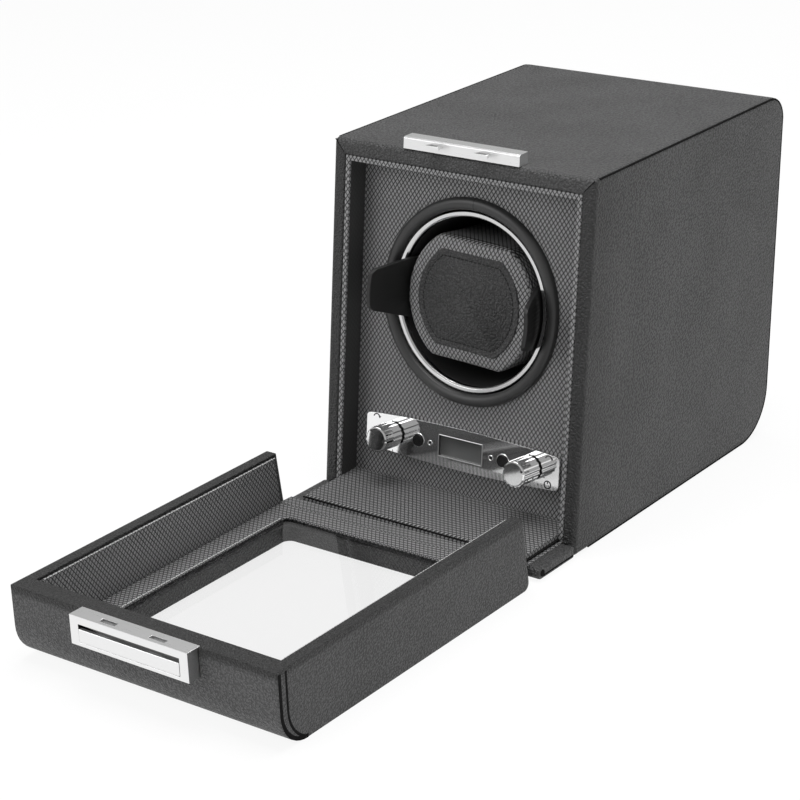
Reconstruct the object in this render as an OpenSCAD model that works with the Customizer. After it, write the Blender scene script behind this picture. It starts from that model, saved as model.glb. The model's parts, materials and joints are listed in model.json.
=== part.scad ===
// Watch winder box: a leaning case with a turning drum, and a glazed cover that is hinged to a tongue at its foot.
// Frame: X to the right, Y to the back, Z up, origin on the table under the front edge of the case.

/* [Case] */
// Width of the case
case_w = 140; // [130:1:200]
// Height of the case at its top
case_h = 166.7; // [160:0.1:210]
// Depth of the case at the table
case_foot_d = 170.6; // [165:0.1:230]
// Angle that the front leans back
front_lean = 7.24; // [3:0.01:10]
// Angle that the back leans back
back_lean = 4.94; // [2:0.01:7]
// Radius of the lower back edge
back_foot_r = 25; // [12:1:30]
// Radius of the upper back edge
back_top_r = 12; // [9:1:20]
// Thickness of the leather
leather_t = 1; // [0.6:0.1:1.4]
// Thickness of the side and back boards
board_t = 5.5; // [4:0.1:8]
// Height from the top of the case to the front opening
top_rim = 7.1; // [6:0.1:10]
// Thickness of the felt under the case
base_pad_t = 0.6; // [0.3:0.1:1]
// Margin from the case's sides to the felt
base_pad_margin = 6; // [4:0.5:12]

/* [Tongue] */
// Length of the tongue in front of the case
tongue_l = 27.7; // [24:0.1:34]
// Height of the tongue's top
tongue_top = 5.7; // [5:0.1:7]
// Thickness of the woven floor pad
floor_pad_t = 3.6; // [2:0.1:4]
// Distance from the tongue's front end to the floor pad
floor_pad_setback = 2.1; // [1.6:0.1:4]

/* [Recess] */
// Thickness of the woven lining round the recess
liner_t = 2.6; // [2:0.1:4]
// Depth of the recess in front of the woven panel
recess_d = 12.5; // [11:0.1:15]
// Thickness of the woven panel
panel_t = 3; // [2:0.1:5]
// Width of the battens that carry the woven panel
batten_w = 6; // [4:0.5:8]
// Depth of those battens
batten_d = 10; // [6:0.5:14]

/* [Drum] */
// Distance of the drum's centre below the middle of the room over the control plate
drum_low = 0.666; // [0:0.001:2]
// Inner radius of the drum
drum_r = 38.8; // [37:0.1:41]
// Wall of the drum
drum_wall = 1.6; // [1.2:0.1:2]
// Depth of the drum from its front ring to its back wall
drum_d = 70; // [66:1:74]
// Radial width of the bright ring
ring_w = 2.27; // [2:0.01:2.6]
// Length of the bright ring along the drum
ring_l = 3.2; // [2:0.1:6]
// Radial width of the leather ring round the drum
gasket_w = 5.6; // [4:0.1:7]
// Height of the leather ring above the woven panel
gasket_h = 2.9; // [2:0.1:4]
// Running gap between the drum and the leather ring
drum_gap = 0.9; // [0.5:0.1:0.95]
// Diameter of the drum's shaft
shaft_d = 8; // [6:0.5:10]

/* [Cuff] */
// Radius of the cuff's rounded sides
cuff_r = 34; // [32:0.1:34.4]
// Height of the cuff
cuff_h = 57; // [48:0.5:60]
// Depth of the cuff
cuff_d = 50; // [40:1:54]
// Rounding of the cuff's long edges
cuff_edge_r = 14; // [8:1:20]
// Rounding of the cuff's front edges
cuff_lip_r = 1.5; // [1:0.1:3]
// Turn of the cuff as it lies in the drum, left side up
cuff_turn = 2.5; // [-5:0.5:5]
// Radius of the leather patch's rounded sides
patch_r = 27.5; // [22:0.5:29]
// Height of the leather patch
patch_h = 44.5; // [34:0.5:46]
// Thickness of the leather patch
patch_t = 1.2; // [0.8:0.1:1.6]
// Reach of a wing's tip from the cuff's middle
wing_reach = 43.9; // [42:0.1:45]
// Distance that a wing's tip stands in front of the case
wing_fore = 6.8; // [4:0.1:9]
// Thickness of a wing
wing_t = 2; // [1.6:0.1:2.2]
// Height of a wing at its root
wing_root_h = 27.6; // [24:0.1:30]
// Height of a wing at its tip
wing_tip_h = 19.5; // [14:0.5:22]
// Distance that the cuff pulls out of the drum
cuff_travel = 75; // [60:1:80]

/* [Control plate] */
// Width of the control plate
plate_w = 107; // [104:1:110]
// Height of the control plate's short ends
plate_end_h = 15.4; // [14:0.1:16]
// Rise of each long edge at its middle
plate_bulge = 2.15; // [1.5:0.05:2.5]
// Height of the control plate's middle along the front
plate_s = 32.6; // [32:0.1:34]
// Thickness of the control plate
plate_t = 2.7; // [2:0.1:3]
// Corner radius of the control plate
plate_corner_r = 2; // [1:0.1:3]
// Width of the display window
lcd_w = 24; // [20:0.5:26]
// Height of the display window
lcd_h = 9.8; // [8:0.1:11]
// Depth of the display window's glass behind the plate's front
lcd_sink = 0.9; // [0.4:0.1:1.2]
// Distance from the middle to each push button
button_x = 23.5; // [23:0.5:25]
// Diameter of a push button
button_d = 5.6; // [4:0.1:6]
// Travel of a push button
button_travel = 0.7; // [0.4:0.1:1]
// Distance from the middle to each status light
light_x = 16.9; // [16.5:0.1:18]
// Diameter of a status light
light_d = 1.8; // [1:0.1:2.2]
// Distance from the middle to each knob
knob_x = 38.1; // [37.5:0.1:40]
// Diameter of a knob
knob_d = 12.2; // [11:0.1:13]
// Length of a knob
knob_l = 13.2; // [10:0.1:14]
// Diameter of a knob's spindle
spindle_d = 6; // [4:0.5:6.5]

/* [Works] */
// Rise of the upper posts above the drum's centre
post_rise = 45; // [43:1:47]
// Fall of the lower posts below the drum's centre
post_fall = 46; // [44:1:48]
// Height of the circuit board
circuit_h = 22; // [18:1:24]
// Width of a press switch
switch_w = 5; // [4:0.5:6]
// Height of a press switch
switch_h = 6; // [5:0.5:7]
// Wall of the bearing housing
housing_wall = 3; // [2:0.5:4]
// Width of the bearing housing's flange
flange_w = 9; // [7:0.5:10]
// Diameter of a chassis screw's head
screw_head_d = 7; // [6:0.5:7.5]
// Distance from the woven panel's back to the circuit board
board_stand = 8; // [7:0.5:10]
// Thickness of the circuit board
circuit_t = 1.6; // [1:0.1:2]
// Diameter of the four posts that carry the rear plate
post_d = 8; // [6:0.5:10]
// Thickness of the rear plate
rear_plate_t = 3; // [2:0.1:4]
// Length of the bearing housing
housing_l = 20; // [18:1:24]
// Outer diameter of a ball bearing
bearing_d = 16; // [14:1:19]
// Width of a ball bearing
bearing_w = 5; // [4:0.5:6]
// Pitch radius of the drum's pulley
drum_pulley_r = 20; // [16:0.5:24]
// Pitch radius of the motor's pulley
motor_pulley_r = 5; // [4:0.5:6]
// Width of both pulleys
pulley_w = 8; // [6:0.5:10]
// Thickness of the drive belt
belt_t = 1.2; // [0.8:0.1:1.6]
// Distance from the drum's shaft down to the motor's shaft
motor_drop = 60; // [58:1:64]
// Diameter of the gear motor
motor_d = 24; // [18:1:26]
// Length of the gear motor
motor_l = 30; // [24:1:40]
// Diameter of the motor's shaft
motor_shaft_d = 3; // [2:0.5:4]

/* [Power inlet] */
// Distance from the middle of the case to the power inlet
inlet_x = 40; // [20:1:44]
// Height of the power inlet along the back
inlet_s = 34; // [30:1:60]
// Diameter of the power inlet's body
inlet_d = 11; // [9:0.5:12]
// Diameter of the power inlet's socket
socket_d = 5.7; // [5.5:0.1:6.4]

/* [Cover] */
// Gap between the tongue and the cover at the hinge
hinge_gap = 7.8; // [7:0.1:9]
// Height of the hinge line
hinge_z = 3; // [2.8:0.1:3.4]
// Thickness of the cover's front board
cover_board_t = 9; // [8:0.1:10]
// Thickness of the cover's side walls
cover_wall_t = 5.5; // [4:0.1:7]
// Thickness of the cover's far wall
far_wall_t = 9.3; // [8:0.1:11]
// Radius of the cover's far edge
cover_far_r = 16; // [14:1:26]
// Radius of the cover's hinge edge
cover_hinge_r = 3.5; // [2:0.1:4]
// Thickness of the cover's woven lining
cover_liner_t = 1.3; // [1:0.1:1.6]
// Distance from the top of a wall down to its lining
liner_drop = 1.2; // [0.8:0.1:3]
// Distance from a side wall's inner face to the window
window_side = 14.5; // [11.5:0.5:19.5]
// Distance from the hinge line to the window
window_start = 19.7; // [18:0.1:24]
// Distance from the far wall's inner face to the window
window_margin = 13.84; // [10:0.01:24]
// Corner radius of the window
window_r = 4; // [2:0.5:6]
// Margin by which the woven border is wider than the window
border_step = 2.3; // [1.5:0.1:2.6]
// Margin by which the glass is held under the border
glass_lap = 4; // [3:0.5:5]
// Thickness of the glass
glass_t = 2; // [1.6:0.1:3]

/* [Latch] */
// Width of the latch plate and of the striker plate
latch_w = 62; // [58:1:66]
// Height of the latch plate
latch_h = 13; // [12.5:0.1:14]
// Distance that the latch plate stands proud of the cover
latch_proud = 6.2; // [4.4:0.1:6.6]
// Depth of the latch plate's seat in the cover
latch_seat = 1.4; // [1:0.1:2]
// Thickness of the latch plate's sheet
latch_sheet = 1.35; // [1:0.05:1.4]
// Height of the striker plate above the case
striker_h = 5.3; // [5:0.1:6]
// Depth of the striker plate
striker_d = 7; // [6:0.1:10]
// Distance from the middle to each hook
hook_x = 13; // [10:0.5:15]
// Width of a hook's stem
hook_w = 6; // [5:0.5:7]
// Reach of a hook in front of the case
hook_l = 4.4; // [4.2:0.1:4.4]
// Width of a hook's nose
hook_nose = 1.2; // [0.8:0.1:1.4]
// Travel of the latch button
latch_travel = 1.2; // [0.6:0.1:1.2]

/* [Hidden] */

$fn = 96;
fit = 0.1;       // gap between pieces that are laid against each other
run = 0.05;      // radial gap of a turning fit
seat = 0.3;      // gap between pieces that part when the box is used
half_w = case_w / 2;
inner_half = half_w - leather_t - board_t;   // half width between the side boards
open_top = case_h - top_rim;                 // height of the top of the front opening
drum_s = (plate_s + plate_end_h / 2 + plate_bulge + open_top / cos(front_lean)) / 2 - drum_low;
floor_z = base_pad_t;                        // underside of the leather
floor_top = tongue_top + floor_pad_t;
panel_back = recess_d + panel_t;
panel_lap = 5;

// Depth at height z of a plane that is off behind the front of the case.
function lean_y(z, off = 0) = z * tan(front_lean) + off / cos(front_lean);
function back_y(z) = case_foot_d + z * tan(back_lean);
function arc(y, z, r, from, to, steps = 10) =
    [for (i = [0:steps]) let (a = from + (to - from) * i / steps) [y + r * cos(a), z + r * sin(a)]];

// Side outline of the case between two heights, with its back face moved in by back_in.
function case_outline(low, high, front_off, back_in, foot_r, top_r) = concat(
    [[lean_y(low, front_off), low]],
    arc(back_y(low + foot_r) - (back_in + foot_r) / cos(back_lean), low + foot_r, foot_r, -90, -back_lean),
    arc(back_y(high - top_r) - (back_in + top_r) / cos(back_lean), high - top_r, top_r, -back_lean, 90),
    [[lean_y(high, front_off), high]]);

// Runs a side outline (Y, Z) across the case.
module across(w) rotate([90, 0, 90]) linear_extrude(w, center = true) children();
// A slab that leans with the front, between two heights and two depths behind the front.
module lean_slab(w, low, high, near, far)
    across(w) polygon([[lean_y(low, near), low], [lean_y(low, far), low],
        [lean_y(high, far), high], [lean_y(high, near), high]]);
// Local frame of the front: X, depth behind the front, height along it.
module on_front(x = 0, off = 0, s = 0) rotate([-front_lean, 0, 0]) translate([x, off, s]) children();
// Turns a piece drawn upwards so that it points into the case.
module inward() rotate([-90, 0, 0]) children();
module on_back(x, s) translate([0, case_foot_d, 0]) rotate([-back_lean, 0, 0]) translate([x, 0, s]) children();
module block(w, d, h) translate([-w / 2, 0, -h / 2]) cube([w, d, h]);
module tube(outer, inner, h) difference() {
    cylinder(r = outer, h = h);
    translate([0, 0, -1]) cylinder(r = inner, h = h + 2);
}
module rounded(w, h, r) {
    square([w - 2 * r, h], center = true);
    square([w, h - 2 * r], center = true);
    for (x = [-1, 1], y = [-1, 1]) translate([x * (w / 2 - r), y * (h / 2 - r)]) circle(r = r, $fn = 32);
}

leather = [0.29, 0.29, 0.3];
weave = [0.42, 0.42, 0.43];
wood = [0.6, 0.5, 0.38];
black = [0.1, 0.1, 0.1];
bright = [0.85, 0.85, 0.87];
steel = [0.6, 0.6, 0.62];

// ---- Case ----
inlet_hole = inlet_d + 0.4;
module inlet_bore() on_back(inlet_x, inlet_s) rotate([90, 0, 0]) translate([0, 0, -5]) cylinder(d = inlet_hole, h = 25);

module carcass() color(wood) {
    difference() {
        across(case_w - 2 * leather_t)
            polygon(case_outline(floor_z + leather_t, case_h - leather_t, leather_t, leather_t,
                back_foot_r - leather_t, back_top_r - leather_t));
        across(2 * inner_half)
            polygon(case_outline(tongue_top, open_top, -2, leather_t + board_t,
                back_foot_r - leather_t - board_t, back_top_r - leather_t - board_t));
        inlet_bore();
    }
    for (side = [-1, 1]) translate([side * (inner_half - batten_w / 2), 0, 0])
        lean_slab(batten_w, tongue_top, open_top, panel_back, panel_back + batten_d);
}
module case_wrap() color(leather) difference() {
    across(case_w - 2 * leather_t)
        polygon(case_outline(floor_z, case_h, 0, 0, back_foot_r, back_top_r));
    across(case_w)
        polygon(case_outline(floor_z + leather_t, case_h - leather_t, -2, leather_t,
            back_foot_r - leather_t, back_top_r - leather_t));
    inlet_bore();
}
module side_leather(side) color(leather) translate([side * (half_w - leather_t / 2), 0, 0]) across(leather_t)
    polygon(case_outline(floor_z, case_h, 0, 0, back_foot_r, back_top_r));
module front_rim() color(leather) difference() {
    lean_slab(case_w - 2 * leather_t, tongue_top, case_h - leather_t, 0, leather_t);
    lean_slab(2 * inner_half, tongue_top - 1, open_top, -1, leather_t + 1);
}
module recess_liner() color(weave) difference() {
    lean_slab(2 * (inner_half - fit), tongue_top, open_top - fit, seat, recess_d);
    lean_slab(2 * (inner_half - fit - liner_t), tongue_top - 1, open_top - fit - liner_t, seat - 1, recess_d + 1);
}

cup_r = drum_r + drum_wall;
ring_r = drum_r + ring_w;
gasket_in = ring_r + drum_gap;
gasket_out = gasket_in + gasket_w;
ring_off = recess_d - 0.6;
lens_gap = 0.2;
display_w = lcd_w + 6;
display_h = lcd_h + 4;
bush_d = spindle_d + 2;
button_shank = button_d - 1.6;
module face_panel() color(weave) difference() {
    lean_slab(2 * (inner_half - fit), tongue_top, open_top - fit, recess_d, panel_back);
    on_front(0, recess_d - 1, drum_s) inward() cylinder(r = gasket_in, h = panel_t + 2);
    on_front(0, recess_d - 1, plate_s) block(display_w + 0.6, panel_t + 2, display_h + 0.6);
    for (side = [-1, 1]) {
        on_front(side * knob_x, recess_d - 1, plate_s) inward() cylinder(d = bush_d + 0.2, h = panel_t + 2);
        on_front(side * button_x, recess_d - 1, plate_s) inward() cylinder(d = button_d + 0.4, h = panel_t + 2);
        on_front(side * light_x, recess_d - 1, plate_s) inward() cylinder(d = light_d + 0.2, h = panel_t + 2);
    }
}
gasket_round = 1.6;
module drum_gasket() color(leather) on_front(0, recess_d - gasket_h, drum_s) inward()
    rotate_extrude() translate([gasket_in, 0]) polygon(concat(
        arc(gasket_round, gasket_round, gasket_round, 180, 270, 6),
        arc(gasket_w - gasket_round, gasket_round, gasket_round, 270, 360, 6),
        [[gasket_w, gasket_h], [0, gasket_h]]));

tongue_r = (tongue_top - floor_z) / 2;
module tongue_board() color(leather) across(case_w) polygon(concat(
    arc(-tongue_l + tongue_r, floor_z + tongue_r, tongue_r, 90, 270, 16),
    [[lean_y(floor_z), floor_z], [lean_y(tongue_top), tongue_top]]));
pad_front = -tongue_l + floor_pad_setback;
pad_round = min(floor_pad_t - 0.6, 2.4);
pad_half = inner_half - liner_t - 2 * fit;
module floor_pad() color(weave) {
    across(2 * pad_half) polygon(concat(
        [[lean_y(floor_top, recess_d - fit), floor_top]],
        arc(pad_front + pad_round, floor_top - pad_round, pad_round, 90, 180, 8),
        [[pad_front, tongue_top], [lean_y(tongue_top, recess_d - fit), tongue_top]]));
    for (side = [-1, 1]) translate([side * (inner_half - fit - liner_t / 2), 0, 0]) across(liner_t)
        polygon([[pad_front, tongue_top], [lean_y(tongue_top, seat - fit), tongue_top],
            [lean_y(tongue_top, seat - fit), tongue_top + 0.4], [pad_front, tongue_top + 0.4]]);
}
felt_back = case_foot_d - back_foot_r - base_pad_margin;
module base_felt() color(black) translate([-half_w + base_pad_margin, -tongue_l + base_pad_margin, 0])
    cube([case_w - 2 * base_pad_margin, tongue_l - base_pad_margin + felt_back, base_pad_t]);

// ---- Works behind the woven panel ----
plate_off = panel_back - panel_t - plate_t;
board_off = panel_back + board_stand;
cup_front = ring_off + ring_l;
cup_back = ring_off + drum_d + drum_wall;
hub_l = 8;
housing_off = cup_back + hub_l / 2 + 1;
rear_off = housing_off + housing_l;
rear_back = rear_off + rear_plate_t;
pulley_off = rear_back + 3;
clip_off = pulley_off + pulley_w + seat;
clip_t = 1;
post_x = inner_half - batten_w - post_d / 2 - 1;
post_low = drum_s - post_fall;
post_high = drum_s + post_rise;
motor_s = drum_s - motor_drop;
rear_low = motor_s - motor_d / 2 - 3;
rear_high = post_high + post_d;
module at_posts(off) for (x = [-post_x, post_x], s = [post_low, post_high]) on_front(x, off, s) inward() children();

module posts() color(steel) at_posts(panel_back) cylinder(d = post_d, h = rear_off - panel_back);
module rear_plate() color(steel) difference() {
    on_front(0, rear_off, (rear_low + rear_high) / 2)
        block(2 * post_x + 2 * post_d, rear_plate_t, rear_high - rear_low);
    on_front(0, rear_off - 1, drum_s) inward() cylinder(d = shaft_d + 4, h = rear_plate_t + 2);
    on_front(0, rear_off - 1, motor_s) inward() cylinder(d = motor_shaft_d + 2, h = rear_plate_t + 2);
    at_posts(rear_off - 1) cylinder(d = 4, h = rear_plate_t + 2);
}
module chassis_screws() color(steel) at_posts(rear_off) {
    cylinder(d = 3.8, h = rear_plate_t);
    translate([0, 0, rear_plate_t]) cylinder(d = screw_head_d, h = 2.2);
}
module bearing_housing() color(steel) on_front(0, housing_off, drum_s) inward() difference() {
    union() {
        cylinder(d = bearing_d + 2 * housing_wall, h = housing_l);
        translate([0, 0, housing_l - 3]) cylinder(d = bearing_d + 2 * (housing_wall + flange_w), h = 3);
    }
    translate([0, 0, -1]) cylinder(d = bearing_d + 0.04, h = bearing_w + 1);
    translate([0, 0, housing_l - bearing_w]) cylinder(d = bearing_d + 0.04, h = bearing_w + 1);
    translate([0, 0, -1]) cylinder(d = bearing_d - 3, h = housing_l + 2);
}
module bearing(off) color(bright) on_front(0, off, drum_s) inward() difference() {
    tube(bearing_d / 2, shaft_d / 2 + run, bearing_w);
    for (z = [-0.6, bearing_w - 0.4]) translate([0, 0, z]) tube(bearing_d / 2 - 1.2, shaft_d / 2 + 1.2, 1);
}
module front_bearing() bearing(housing_off);
module rear_bearing() bearing(rear_off - bearing_w);
module gear_motor() color(steel) on_front(0, rear_off - motor_l, motor_s) inward() {
    cylinder(d = motor_d, h = motor_l);
    translate([0, 0, -6]) cylinder(d = motor_d - 8, h = 6);
}
bed = belt_t / 2 + fit;
module groove_pulley(r, bore)
    rotate_extrude() polygon([[bore, 0], [r + 1.2, 0], [r + 1.2, 1.2], [r - bed, 2.4], [r - bed, pulley_w - 2.4],
        [r + 1.2, pulley_w - 1.2], [r + 1.2, pulley_w], [bore, pulley_w]]);
module drum_pulley() color(black) on_front(0, pulley_off, drum_s) inward()
    groove_pulley(drum_pulley_r, shaft_d / 2);
module motor_pulley() color(black) on_front(0, 0, motor_s) {
    translate([0, pulley_off, 0]) inward() groove_pulley(motor_pulley_r, motor_shaft_d / 2);
    translate([0, rear_off + seat, 0]) inward() cylinder(d = motor_shaft_d, h = pulley_off + pulley_w - rear_off);
}
// Closed outline round both pulleys, grow outside their pitch radii.
belt_tilt = asin((drum_pulley_r - motor_pulley_r) / motor_drop);
function belt_outline(grow) = concat(
    arc(0, 0, drum_pulley_r + grow, -belt_tilt, 180 + belt_tilt, 60),
    arc(0, -motor_drop, motor_pulley_r + grow, 180 + belt_tilt, 360 - belt_tilt, 30));
belt_w = pulley_w - 5.6;
module drive_belt() color(black) on_front(0, pulley_off + (pulley_w + belt_w) / 2, drum_s) rotate([90, 0, 0])
    linear_extrude(belt_w) difference() {
        polygon(belt_outline(belt_t / 2));
        polygon(belt_outline(-belt_t / 2));
    }

// ---- Drum and cuff ----
module drum_cup() color(black) on_front(0, 0, drum_s) {
    translate([0, cup_front, 0]) inward() difference() {
        cylinder(r = cup_r, h = cup_back - cup_front);
        translate([0, 0, -1]) cylinder(r = drum_r, h = cup_back - cup_front - drum_wall + 1);
        cylinder(d = shaft_d, h = drum_d + 5);
    }
    translate([0, cup_back, 0]) inward() tube(shaft_d, shaft_d / 2, hub_l / 2);
}
module drum_ring() color(bright) on_front(0, ring_off, drum_s) inward() tube(ring_r, drum_r, ring_l);
module drum_shaft() color(steel) on_front(0, cup_back - drum_wall, drum_s) inward() difference() {
    cylinder(d = shaft_d, h = clip_off + clip_t + 2 - cup_back + drum_wall);
    translate([0, 0, clip_off - cup_back + drum_wall]) tube(shaft_d, shaft_d / 2 - 0.6, clip_t);
}
module shaft_clip() color(steel) on_front(0, clip_off, drum_s) inward() tube(shaft_d / 2 + 2, shaft_d / 2 - 0.6, clip_t);

cuff_front = ring_off - 0.4;
cuff_back = cuff_front + cuff_d;
// Local frame of the cuff, whose depth is counted from the front of the case.
module on_cuff() on_front(0, 0, drum_s) rotate([0, cuff_turn, 0]) children();
module cuff_shape(r, h, near, far, front_r, back_r) on_cuff() intersection() {
    translate([0, near - 5, 0]) inward() cylinder(r = r, h = far - near + 10);
    across(2 * r + 10) polygon(concat(
        arc(near + front_r, front_r - h / 2, front_r, 180, 270, 6), arc(far - back_r, back_r - h / 2, back_r, 270, 360),
        arc(far - back_r, h / 2 - back_r, back_r, 0, 90), arc(near + front_r, h / 2 - front_r, front_r, 90, 180, 6)));
}
core_in = 6;
module cuff_core() color(black) cuff_shape(cuff_r - core_in, cuff_h - 2 * core_in,
    cuff_front + core_in, cuff_back - core_in, 1, cuff_edge_r - core_in / 2);
module cuff_cushion() color(weave) difference() {
    cuff_shape(cuff_r, cuff_h, cuff_front, cuff_back, cuff_lip_r, cuff_edge_r);
    cuff_core();
}
module cuff_patch() color(leather) on_cuff() translate([0, cuff_front - patch_t, 0]) inward() intersection() {
    cylinder(r = patch_r, h = patch_t);
    translate([-patch_r, -patch_h / 2, 0]) cube([2 * patch_r, patch_h, patch_t]);
}
// A wing is a shell round the drum's axis: a plate beside the cushion that flares forwards to a tip.
wing_in = cuff_r + 0.4;
wing_out = drum_r - 0.7;
wing_slope = (wing_reach - wing_out) / (ring_off + wing_fore);
wing_lean_t = wing_t * sqrt(1 + wing_slope * wing_slope);
wing_break = (wing_reach - wing_lean_t - wing_in) / wing_slope - wing_fore;
wing_back = cuff_back - 18;
wing_corner = 2;
module wing(side) color(black) on_cuff() mirror([side < 0 ? 1 : 0, 0, 0]) intersection() {
    inward() rotate_extrude() polygon([[wing_in, wing_back], [wing_out, wing_back], [wing_out, ring_off],
        [wing_reach, -wing_fore], [wing_reach - wing_lean_t, -wing_fore], [wing_in, wing_break]]);
    translate([wing_out, 0, 0]) across(18) polygon([[wing_corner - wing_fore, -wing_tip_h / 2],
        [ring_off, -wing_root_h / 2], [wing_back + 1, -wing_root_h / 2], [wing_back + 1, wing_root_h / 2],
        [ring_off, wing_root_h / 2], [wing_corner - wing_fore, wing_tip_h / 2],
        [-wing_fore, wing_tip_h / 2 - wing_corner], [-wing_fore, wing_corner - wing_tip_h / 2]]);
}

// ---- Control plate ----
plate_curve_r = (pow(plate_w / 2, 2) + pow(plate_bulge, 2)) / (2 * plate_bulge);
plate_angle = asin(plate_w / 2 / plate_curve_r);
module plate_outline() intersection() {
    union() {
        square([plate_w - 2 * plate_corner_r, plate_end_h + 2 * plate_bulge], center = true);
        rounded(plate_w, plate_end_h, plate_corner_r);
    }
    polygon(concat(
        arc(0, plate_end_h / 2 + plate_bulge - plate_curve_r, plate_curve_r, 90 - plate_angle, 90 + plate_angle, 24),
        arc(0, plate_curve_r - plate_end_h / 2 - plate_bulge, plate_curve_r, 270 - plate_angle, 270 + plate_angle, 24)));
}
module control_plate() color(bright) on_front(0, plate_off, plate_s) difference() {
    inward() linear_extrude(plate_t) plate_outline();
    translate([0, -1, 0]) block(lcd_w, plate_t + 2, lcd_h);
    for (side = [-1, 1]) {
        translate([side * knob_x, -1, 0]) inward() cylinder(d = bush_d + 0.2, h = plate_t + 2);
        translate([side * button_x, -1, 0]) inward() cylinder(d = button_d + 0.3, h = plate_t + 2);
        translate([side * light_x, -1, 0]) inward() cylinder(d = light_d + 0.2, h = plate_t + 2);
    }
}
module display_lens() color([0.55, 0.58, 0.56]) on_front(0, plate_off + lcd_sink, plate_s)
    block(lcd_w - lens_gap, plate_t - lcd_sink, lcd_h - lens_gap);
module display_module() color(black) on_front(0, recess_d, plate_s) block(display_w, board_off - recess_d, display_h);
module circuit_board() color([0.1, 0.35, 0.2]) on_front(0, board_off, plate_s) block(plate_w - 6, circuit_t, circuit_h);
switch_l = 3.5;
module press_switches() color(black) for (side = [-1, 1])
    on_front(side * button_x, board_off - switch_l, plate_s) block(switch_w, switch_l, switch_h);
module button(side) color(black) on_front(side * button_x, 0, plate_s) {
    translate([0, plate_off - 1, 0]) inward() cylinder(d = button_d, h = panel_back + 1 - plate_off);
    translate([0, panel_back - 0.1, 0]) inward() cylinder(d = button_shank, h = board_off - switch_l - button_travel - fit / 2 - panel_back + 0.1);
    translate([0, panel_back + seat, 0]) inward() cylinder(d = button_d + 1, h = 1);
}
module status_lights() color([0.8, 0.85, 0.8]) for (side = [-1, 1])
    on_front(side * light_x, plate_off, plate_s) inward() cylinder(d = light_d, h = board_off - plate_off);
module encoder(side) color(steel) on_front(side * knob_x, 0, plate_s) difference() {
    union() {
        translate([0, panel_back, 0]) block(12, board_stand, 13);
        translate([0, plate_off + 0.4, 0]) inward() cylinder(d = bush_d, h = panel_back - plate_off);
    }
    translate([0, plate_off - 1, 0]) inward() cylinder(d = spindle_d + 2 * run, h = board_off - plate_off - 1);
}
knob_back = plate_off - seat;
knob_front = knob_back - knob_l;
neck_l = 1;
module knob(side) color(bright) on_front(side * knob_x, knob_front, plate_s) inward() difference() {
    union() {
        cylinder(d = knob_d, h = knob_l - neck_l);
        cylinder(d = knob_d - 3, h = knob_l);
    }
    translate([0, 0, 2.5]) cylinder(d = spindle_d, h = knob_l);
}
module spindle(side) color(steel) on_front(side * knob_x, knob_front + 2.5, plate_s) inward()
    cylinder(d = spindle_d, h = board_off - 3 - knob_front - 2.5);

module power_inlet() color(black) on_back(inlet_x, inlet_s) rotate([90, 0, 0]) difference() {
    union() {
        translate([0, 0, -0.8]) cylinder(d = inlet_d + 3, h = 0.8);
        cylinder(d = inlet_d, h = 16);
        translate([0, 0, leather_t + board_t + fit]) cylinder(d = inlet_d + 5, h = 2, $fn = 6);
    }
    translate([0, 0, -2]) tube(socket_d / 2, 1, 12);
}

// ---- Cover, lying open on the table ----
hinge_y = -tongue_l - hinge_gap / 2;
cover_top = hinge_z - hinge_y * cos(front_lean) + hinge_z * sin(front_lean) - seat;
far_y = hinge_y - (case_h / cos(front_lean) - (hinge_y * sin(front_lean) + hinge_z * cos(front_lean)));
wall_rest = tongue_top + 0.5 - hinge_z;
board_rest = floor_top + seat - hinge_z;
// Depth at height z of an end face that lies level, rest above the hinge line, when the cover is shut.
function end_y(z, rest) = hinge_y - (rest + (z - hinge_z) * sin(front_lean)) / cos(front_lean);
border_t = cover_liner_t;
border_top = cover_board_t + border_t;
cover_in = half_w - cover_wall_t;
far_in = far_y + far_wall_t;
window_near = hinge_y - window_start;
window_l = window_near - far_in - window_margin;
window_w = 2 * (cover_in - window_side);
window_mid = window_near - window_l / 2;
module window_prism(w, l, r, low, high) translate([0, window_mid, low]) linear_extrude(high - low) rounded(w, l, r);
function cover_outline() = concat(
    arc(end_y(cover_hinge_r, wall_rest) - cover_hinge_r / cos(front_lean), cover_hinge_r, cover_hinge_r, -90, front_lean, 6),
    [[end_y(cover_top, wall_rest), cover_top], [far_y, cover_top]],
    arc(far_y + cover_far_r, cover_far_r, cover_far_r, 180, 270));
latch_out = far_y - latch_proud;
latch_low = cover_top - latch_h;
catch_gap = 0.15;
catch_t = 1;
leaf_t = 1.6;
pocket_half = latch_w / 2 - 3;
catch_half = pocket_half - 2;
catch_travel = 1.6;
hook_s = case_h / cos(front_lean) + latch_proud / 2;
hook_y = hinge_y + hinge_y * sin(front_lean) + hinge_z * cos(front_lean) - hook_s;
hook_t = 1.4;
button_high = cover_top - hook_l - 1;
button_gap = 2;
button_low = latch_low + 1.8;
reveal_t = 1.2;

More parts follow.
